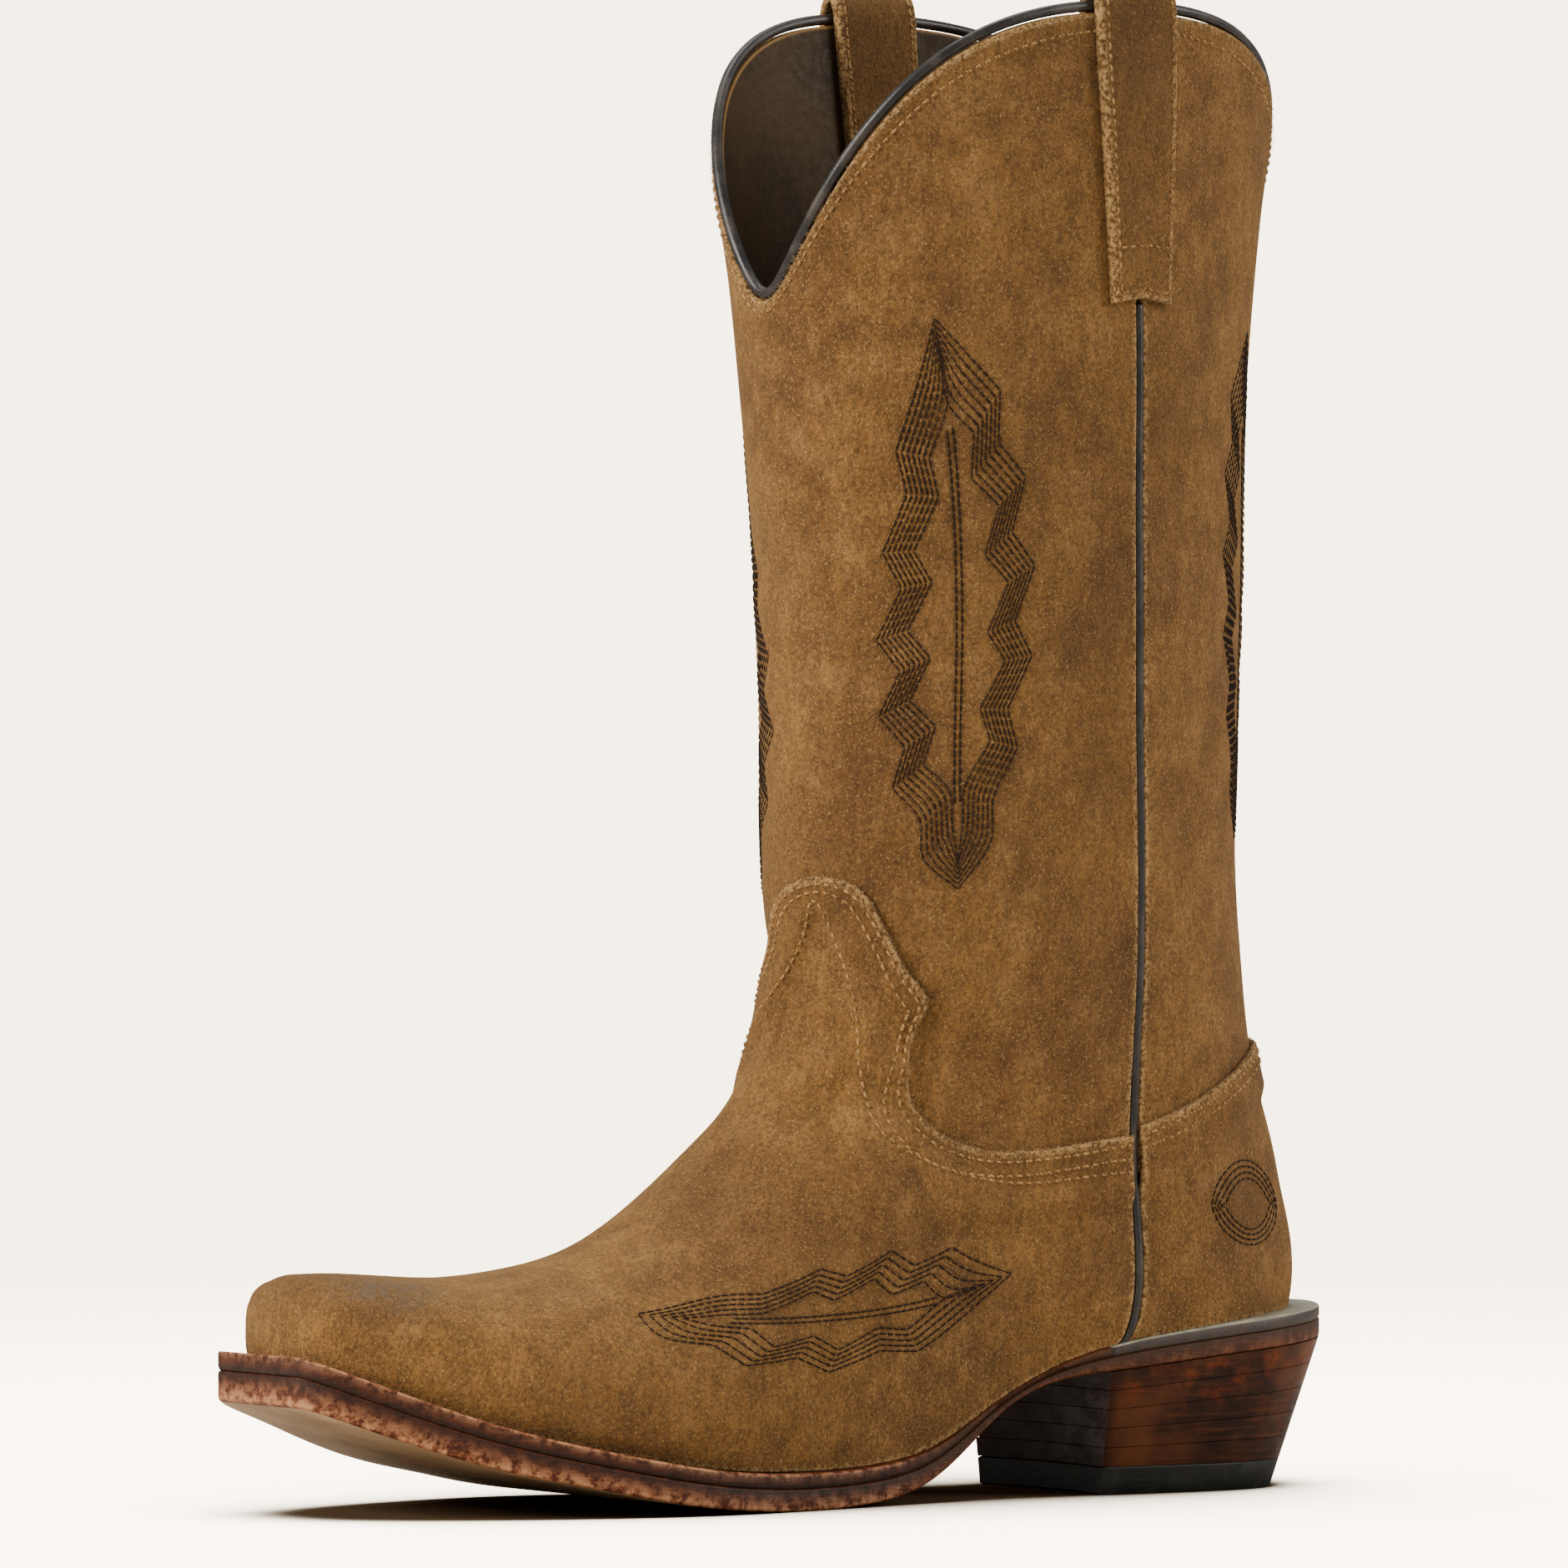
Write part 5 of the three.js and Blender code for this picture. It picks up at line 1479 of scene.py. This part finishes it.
class BOOT_OT_straps(bpy.types.Operator):
    """Pull straps folded over the topline at both side seams"""
    bl_idname = "boot.straps"
    bl_label = "Pull straps"

    def execute(self, context):
        thick = size("strap_thickness")
        for side, node in ((1, "pull_strap_lateral"), (-1, "pull_strap_medial")):
            u = np.concatenate([[-1, -0.992, -0.975, -0.945], np.linspace(-0.9, 0.9, 23),
                                [0.945, 0.975, 0.992, 1]])
            s = steps(154, 1.1, (0, 0.1, 0.35, 0.7, 1.1))
            s = s[: len(s) - 1 + len(s) % 2]
            uu, ss = np.meshgrid(u * side, s)
            p, out = strap_path(side, uu, ss)
            e = border_distance(p)
            ply = 0.16 * np.exp(-(((np.abs(uu) - 0.84) / 0.06) ** 2))
            face = p + out * (thick / 2 - rounded(e, 0.9) - ply)[..., None]
            rear = (p - out * (thick / 2))[::2, ::2]
            p_frame = placed(face)
            values = {"burnish": 0.5 * blob(p_frame, placed(skin(side * 0.5, 0.98)) * 1000, (30, 30, 30))
                      + 0.35 * blob(p_frame, placed(skin(side * 0.46, 0.86)) * 1000, (9, 9, 30)),
                      "smear": np.zeros_like(uu), "row": np.zeros_like(uu), "groove": np.zeros_like(uu)}
            closed_sheet(f"{node}_leather", face, rear, e, stock("suede"), "suede", node, values)
        return {"FINISHED"}


# ---- bottom ---------------------------------------------------------------------------------------
def sole_half(y, side):
    """Half width of the sole, closing round the heel."""
    half = np.where(side > 0, sole_outer(y), sole_inner(y))
    at = np.where(side > 0, sole_outer(112.0), sole_inner(112.0))
    share = np.clip((y - 112) / (HEEL_TIP - 112), 0, 1)
    return np.where(y < 112, half, at * np.sqrt(np.maximum(1 - share**2.3, 0)))


def outsole_top(y):
    return sole_under(y) + 0.62 * (feather(y) - sole_under(y) - 0.6)


def last_half(y, side):
    return np.sqrt(np.maximum(half2(y, feather(y) + 1.2, side), 0))


SEAT_END = float(leg_back(46))


def stations(y0, y1, pitch=1.3):
    """Cross sections, closer together near both ends."""
    n = int((y1 - y0) / pitch)
    f = np.linspace(0, 1, n)
    ends = np.array([0, 0.15, 0.4, 0.8]) / (y1 - y0)
    return y0 + (y1 - y0) * np.unique(np.concatenate([ends, f[(f > ends[-1]) & (f < 1 - ends[-1])], 1 - ends]))


def plate(name, y, half, bottom, top, radius, materials, slot, nodes, columns=34, under=None):
    """A plate across the sole with rounded edges; under is the slot of its lower face."""
    edge = np.array([0, 0.12, 0.35, 0.7, 1.1, 1.8])
    x = np.zeros((len(y), columns + 1))
    w_left, w_right = half(y, -1.0), half(y, 1.0)
    f = np.linspace(-1, 1, columns + 1)
    for i, (wl, wr) in enumerate(zip(w_left, w_right)):
        k = min(1.0, 0.4 * (wl + wr) / 2 / edge[-1])
        row = np.interp(f, [-1, 1], [-wl, wr])
        m = len(edge)
        row[:m] = -wl + edge * k
        row[-m:] = wr - (edge * k)[::-1]
        row[m : columns + 1 - m] = np.linspace(row[m - 1], row[-m], columns + 3 - 2 * m)[1:-1]
        x[i] = row
    yy = np.repeat(y[:, None], columns + 1, 1)
    e = np.minimum(np.minimum(x + w_left[:, None], w_right[:, None] - x), np.minimum(yy - y[0], y[-1] - yy))
    drop = rounded(np.maximum(e, 0), radius)
    lo = np.stack([x, yy, bottom(yy) + drop], -1)
    hi = np.stack([x, yy, top(yy) - drop], -1)
    rows, cols = x.shape
    faces = grid_faces(rows, cols, 0, flip=True)
    count = len(faces)
    start = rows * cols
    faces += grid_faces(rows, cols, start)
    ids = np.arange(start).reshape(rows, cols)
    rim = np.concatenate([ids[0], ids[1:, -1], ids[-1, -2::-1], ids[-2:0:-1, 0]])
    nxt = np.roll(rim, -1)
    faces += np.stack([rim, nxt, nxt + start, rim + start], -1).tolist()
    worn = np.concatenate([np.exp(-e / 0.9).ravel(), 0 * e.ravel()])
    crease = np.concatenate([0 * e.ravel(), np.exp(-e / 0.8).ravel()])
    waist = np.tile((ease((yy - 4) / 24)).ravel(), 2)
    slots = np.zeros(len(faces), int)
    if under is not None:
        # The lower face is buffed leather, apart from the rounded rim that was stained with the edge.
        mid = e[:-1, :-1].ravel() > 1.0
        slots[:count][mid] = under
    obj = piece(name, placed(np.concatenate([lo.reshape(-1, 3), hi.reshape(-1, 3)])), faces, materials, slot,
                nodes, {"worn": worn * (1 - waist * 0.8), "crease": crease, "waist": waist}, slots)
    return obj


def rim_points(y_from, y_to, y_inner, pitch=0.8):
    """Outline of the sole's edge from one side round the toe or heel to the other, as outer and inner
    points in plan: the inner line lies under the last."""
    toe = y_to < y_from
    y = np.linspace(y_from, y_to, int(abs(y_to - y_from) / pitch))
    if not toe:
        share = np.sin(np.linspace(0, np.pi / 2, len(y)))
        y = y_from + (y_to - y_from) * share
    yi = lerp(y_from, y_inner, (y - y_from) / (y_to - y_from))
    outer = [np.stack([side * sole_half(y, side), y], -1) for side in (1.0, -1.0)]
    inner = [np.stack([side * 0.8 * last_half(yi, side), yi], -1) for side in (1.0, -1.0)]
    across = np.linspace(0, 1, 46)[1:-1, None] if toe else np.zeros((0, 1))
    front = lerp(outer[0][-1:], outer[1][-1:], across)
    front_in = lerp(inner[0][-1:], inner[1][-1:], across)
    return (np.concatenate([outer[0], front, outer[1][::-1]]), np.concatenate([inner[0], front_in, inner[1][::-1]]))


def rim(name, y_from, y_to, y_inner, radius, materials, slot, node):
    """Welt or rand: a strip round one end of the sole, with a rounded outer edge."""
    outer, inner = rim_points(y_from, y_to, y_inner)
    width = np.linalg.norm(outer - inner, axis=-1, keepdims=True)
    inset = [None, 6.0, 3.2, 1.6, 0.9, 0.45, 0.18, 0.0, 0.0, 0.0, 0.18, 0.45, 0.9, 2.0, None]
    level = [1] * 7 + [0.98, 0.5, 0.02] + [0] * 5
    ring = []
    worn, crease = [], []
    for mm, h in zip(inset, level):
        f = 1.0 if mm is None else np.minimum(mm / width, 0.98)
        p = lerp(outer, inner, f)
        e = 99 if mm is None else mm
        drop = rounded(np.array(float(e)), radius)
        lo, hi = outsole_top(p[:, 1]) + 0.08, feather(p[:, 1]) - 0.1
        z = lerp(lo, hi, h)
        z = np.where(h > 0.9, np.minimum(z, hi - drop), np.where(h < 0.1, np.maximum(z, lo + drop), z))
        ring.append(np.stack([p[:, 0], p[:, 1], z], -1))
        worn.append(np.full(len(p), np.exp(-((e / 0.9) ** 2)) if h > 0.9 else 0.0))
        crease.append(np.full(len(p), 1.0 if h < 0.1 else np.exp(-((e - 6) / 1.5) ** 2) * 0.7 if mm else 0.7))
    points = np.stack(ring, 1)
    n, m = points.shape[:2]
    faces = tube_faces(n, m)
    if y_to < y_from:
        faces = [f[::-1] for f in faces]
    waist = ease((points[..., 1] - 4) / 24)
    return piece(name, placed(points), faces, materials, slot, node,
                 {"worn": np.stack(worn, 1) * (1 - waist), "crease": np.stack(crease, 1), "waist": waist})


class BOOT_OT_sole(bpy.types.Operator):
    """Outsole, welt and heel rand"""
    bl_idname = "boot.sole"
    bl_label = "Outsole, welt and rand"

    def execute(self, context):
        y = stations(TOE_TIP, 152.8)
        plate("outsole_leather", y, sole_half, sole_under, lambda v: outsole_top(v) + 0.1, 0.8,
              [stock("edge"), stock("bottom")], "sole", "outsole", 44, under=1)
        rim("welt_strip", BREAST - 0.1, TOE_TIP, TOE_Y + 13, 0.9, stock("edge"), "edge", "welt")
        rim("heel_rand_strip", BREAST, 152.85, SEAT_END - 12, 0.7, stock("rand"), "rand", "heel_rand")
        return {"FINISHED"}


class BOOT_OT_inner_soles(bpy.types.Operator):
    """Insole board and the padded footbed on it"""
    bl_idname = "boot.inner_soles"
    bl_label = "Insole and footbed"

    def execute(self, context):
        mid, half = (TOE_Y + SEAT_END) / 2, (SEAT_END - TOE_Y) / 2

        def fitted(fit, shrink):
            return lambda y, side: fit * last_half(mid + (y - mid) * half / (half - shrink), side)

        plate("insole_board", stations(TOE_Y + 7, SEAT_END - 6, 2.6), fitted(0.87, 5),
              lambda y: feather(y) + 0.05, lambda y: feather(y) + 2.85, 0.4, stock("board"), "insole", "insole")
        bed = plate("footbed_pad", stations(TOE_Y + 9.5, SEAT_END - 8, 2.6), fitted(0.84, 7),
                    lambda y: feather(y) + 3.15, lambda y: feather(y) + 6.2, 1.3, stock("sock"),
                    "footbed", "footbed")
        return {"FINISHED"}


# ---- heel -----------------------------------------------------------------------------------------
LIFTS, TOP_LIFT, HEEL_SCALE, HEEL_RAKE, HEEL_CONCAVE = 5, 7.0, 0.84, 14.0, 3.5


def seat(y):
    return sole_under(y) - 0.15


def heel_layer(name, bottom, top, radius, materials, slot, node):
    """One layer of the underslung heel, hollow at the breast."""
    n = 40
    ends = np.array([0, 0.006, 0.015, 0.03])
    v = np.unique(np.concatenate([ends, np.linspace(0.05, 0.97, n), [0.985, 0.995, 1]]))
    u = np.unique(np.concatenate([-1 + ends, np.linspace(-0.95, 0.95, 31), 1 - ends]))
    q = np.sin(np.pi * v / 2)[:, None] + 0 * u
    plan = lerp(BREAST, 152.6, q)
    uu = u[None] + 0 * q

    def face(z):
        low = 1 - np.minimum(z / seat(plan), 1)
        hollow = HEEL_CONCAVE * (1 - uu * uu) * (1 - q)
        y = plan + hollow - HEEL_RAKE * low * q
        x = uu * sole_half(plan, np.sign(uu) + (uu == 0)) * lerp(0.99, HEEL_SCALE, low)
        return np.stack([x, y, z], -1)

    flat = face(top(plan))
    e = border_distance(flat)
    drop = rounded(e, radius)
    lo, hi = face(bottom(plan) + drop), face(top(plan) - drop)
    rows, cols = e.shape
    start = rows * cols
    faces = grid_faces(rows, cols, 0, flip=True) + grid_faces(rows, cols, start)
    ids = np.arange(start).reshape(rows, cols)
    ring = np.concatenate([ids[0], ids[1:, -1], ids[-1, -2::-1], ids[-2:0:-1, 0]])
    mid = 2 * start + np.arange(len(ring))
    side = (lo.reshape(-1, 3)[ring] + hi.reshape(-1, 3)[ring]) / 2
    nxt, mid_nxt = np.roll(ring, -1), np.roll(mid, -1)
    faces += np.stack([ring, nxt, mid_nxt, mid], -1).tolist()
    faces += np.stack([mid, mid_nxt, nxt + start, ring + start], -1).tolist()
    points = np.concatenate([lo.reshape(-1, 3), hi.reshape(-1, 3), side])
    crease = np.concatenate([np.exp(-e / 0.3).ravel(), np.exp(-e / 0.3).ravel(), np.zeros(len(ring))])
    # Mask of the breast, the heel's front face, which the stack material darkens as painted shade.
    front = np.concatenate([(1 - ease(q / 0.06)).ravel()] * 2 + [(1 - ease(q / 0.06)).ravel()[ring]])
    made = piece(name, placed(points), faces, materials, slot, node, {"crease": crease, "breast": front})
    made.data.set_sharp_from_angle(angle=math.radians(30))
    return made


class BOOT_OT_heel(bpy.types.Operator):
    """Stacked heel lifts and the rubber top lift"""
    bl_idname = "boot.heel"
    bl_label = "Heel"

    def execute(self, context):
        for k in range(1, LIFTS + 1):
            heel_layer(f"heel_lift_{k}_leather",
                       lambda y, k=k: lerp(TOP_LIFT, seat(y), (k - 1) / LIFTS) + 0.04,
                       lambda y, k=k: lerp(TOP_LIFT, seat(y), k / LIFTS), 0.07,
                       stock("stack"), "stack", f"heel_lift_{k}")
        heel_layer("top_lift_rubber", lambda y: 0 * y, lambda y: 0 * y + TOP_LIFT, 0.35,
                   stock("rubber"), "top_lift", "top_lift")
        return {"FINISHED"}


class BOOT_OT_hidden_parts(bpy.types.Operator):
    """Finishes for the pieces inside the boot that keep their CAD shape"""
    bl_idname = "boot.hidden_parts"
    bl_label = "Hidden parts"

    def execute(self, context):
        kinds = {"toe_box": "stiff", "counter_stiffener": "stiff", "cork_filler": "cork", "shank": "steel",
                 "heel_nail": "steel", "lift_nail": "brass"}
        for node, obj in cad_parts.items():
            kind = next((k for start, k in kinds.items() if node.startswith(start)), None)
            if kind:
                obj.data.materials.clear()
                obj.data.materials.append(stock(kind))
        return {"FINISHED"}


# ---- stage ----------------------------------------------------------------------------------------
BACKDROP = "#FDEDD4"


class BOOT_OT_stage(bpy.types.Operator):
    """Pale floor, soft lights and the camera"""
    bl_idname = "boot.stage"
    bl_label = "Stage"

    def execute(self, context):
        scene = context.scene
        world = bpy.data.worlds.new("pale_studio")
        world.use_nodes = True
        scene.world = world
        tree = world.node_tree
        tree.nodes.clear()
        seen = add(tree, "ShaderNodeBackground", None, {"Color": linear(BACKDROP), "Strength": 6.6})
        lit = add(tree, "ShaderNodeBackground", None, {"Color": (1.0, 0.985, 0.96, 1), "Strength": 0.5})
        ray = add(tree, "ShaderNodeLightPath").outputs["Is Camera Ray"]
        mix = add(tree, "ShaderNodeMixShader", None, {0: ray, 1: lit.outputs[0], 2: seen.outputs[0]})
        add(tree, "ShaderNodeOutputWorld", None, {"Surface": mix.outputs[0]})

        # Seamless pale paper: a matt floor that fades into the backdrop a metre and a half out. A glow seen only by
        # the camera keeps it as bright as the backdrop, and ambient occlusion darkens both its colour and that glow
        # into a painted contact shadow round the boot.
        made, tree, at = material("matt_studio_paper")
        tree.nodes.remove(tree.nodes["Principled BSDF"])
        far = add(tree, "ShaderNodeVectorMath", {"operation": "LENGTH"}, {0: at}).outputs["Value"]
        fade = ramp(tree, far, 0.35, 1.3)
        # Painted shadow: ambient occlusion from the boot tints the paper towards dark brown and dims its glow.
        open_sky = add(tree, "ShaderNodeAmbientOcclusion", {"samples": 24}, {"Distance": 0.32}).outputs["AO"]
        open_sky = ramp(tree, open_sky, 0.42, 0.93)
        painted_contact_shadow = tint(tree, open_sky, linear("#4A3B2C"), linear("#E9E2D6"))
        matt = add(tree, "ShaderNodeBsdfDiffuse", None, {"Color": painted_contact_shadow})
        seen = add(tree, "ShaderNodeLightPath").outputs["Is Camera Ray"]
        shine = maths(tree, "MULTIPLY", maths(tree, "MULTIPLY", open_sky, 9.0), seen)
        glow = add(tree, "ShaderNodeEmission", None, {"Color": linear(BACKDROP), "Strength": shine})
        lit_paper = add(tree, "ShaderNodeAddShader", None, {0: matt.outputs[0], 1: glow.outputs[0]})
        clear = add(tree, "ShaderNodeBsdfTransparent")
        mix = add(tree, "ShaderNodeMixShader", None, {0: fade, 1: lit_paper.outputs[0], 2: clear.outputs[0]})
        tree.links.new(mix.outputs[0], tree.nodes["Material Output"].inputs["Surface"])
        n = 96
        angle = np.arange(n) * 2 * np.pi / n
        ring = np.stack([np.cos(angle), np.sin(angle), 0 * angle], -1)
        mesh = bpy.data.meshes.new("floor")
        points = np.concatenate([[[0, 0, 0]], ring * 0.5, ring * 1.4])
        faces = [[0, 1 + k, 1 + (k + 1) % n] for k in range(n)]
        faces += [[1 + k, 1 + n + k, 1 + n + (k + 1) % n, 1 + (k + 1) % n] for k in range(n)]
        mesh.from_pydata(points.tolist(), [], faces)
        mesh.materials.append(made)
        floor = bpy.data.objects.new("floor", mesh)
        scene.collection.objects.link(floor)

        def area(name, power, width, where, aim, colour=(1, 1, 1)):
            light = bpy.data.lights.new(name, "AREA")
            light.energy, light.size, light.color = power, width, colour
            lamp = bpy.data.objects.new(name, light)
            lamp.location = where
            lamp.rotation_euler = (Vector(aim) - Vector(where)).to_track_quat("-Z", "Y").to_euler()
            lamp.visible_camera = False
            scene.collection.objects.link(lamp)

        area("key_softbox", 150, 1.0, (0.12, -2.8, 1.6), (0, 0, 0.15), (1.0, 0.95, 0.88))
        area("back_softbox", 62, 1.2, (1.7, 2.3, 1.3), (0, 0, 0.2), (1.0, 0.95, 0.9))
        area("top_softbox", 18, 1.2, (-0.5, 0.3, 2.2), (0, 0, 0.2))

        lens = bpy.data.cameras.new("camera")
        lens.sensor_width = 36.0
        lens.lens = 16800 / 1880 * 36
        lens.clip_end = 100.0
        camera = bpy.data.objects.new("camera", lens)
        turn = math.radians(58)
        stand = Vector((3.466 * math.sin(turn), -3.466 * math.cos(turn), 0.211))
        shift = Vector((0, SHIFT[1] / 1000, 0))
        camera.location = stand + shift
        camera.rotation_euler = (Vector((0, 0, 0.177)) - stand).to_track_quat("-Z", "Y").to_euler()
        scene.collection.objects.link(camera)
        scene.camera = camera
        return {"FINISHED"}


class BOOT_PT_pieces(bpy.types.Panel):
    """Lists the boot's pieces and sizes"""
    bl_idname = "BOOT_PT_pieces"
    bl_label = "Cowboy boot"
    bl_space_type = "VIEW_3D"
    bl_region_type = "UI"
    bl_category = "Boot"

    def draw(self, context):
        for made in OPERATORS:
            self.layout.operator(made.bl_idname)
        for group in (context.scene.boot_sizes, context.scene.boot_shades):
            box = self.layout.box()
            for key in group.__annotations__:
                box.prop(group, key)


OPERATORS = (
    BOOT_OT_shaft, BOOT_OT_foot_leather, BOOT_OT_linings, BOOT_OT_trims, BOOT_OT_straps, BOOT_OT_pattern,
    BOOT_OT_seams, BOOT_OT_fibres, BOOT_OT_sole, BOOT_OT_inner_soles, BOOT_OT_heel, BOOT_OT_hidden_parts,
    BOOT_OT_stage,
)
CLASSES = (BootShades, BootSizes, *OPERATORS, BOOT_PT_pieces)


def register():
    for made in CLASSES:
        bpy.utils.register_class(made)
    bpy.types.Scene.boot_shades = bpy.props.PointerProperty(type=BootShades)
    bpy.types.Scene.boot_sizes = bpy.props.PointerProperty(type=BootSizes)


def unregister():
    del bpy.types.Scene.boot_sizes
    del bpy.types.Scene.boot_shades
    for made in reversed(CLASSES):
        bpy.utils.unregister_class(made)


def main():
    register()
    for made in OPERATORS:
        group, name = made.bl_idname.split(".")
        getattr(getattr(bpy.ops, group), name)()


if __name__ == "__main__":
    main()
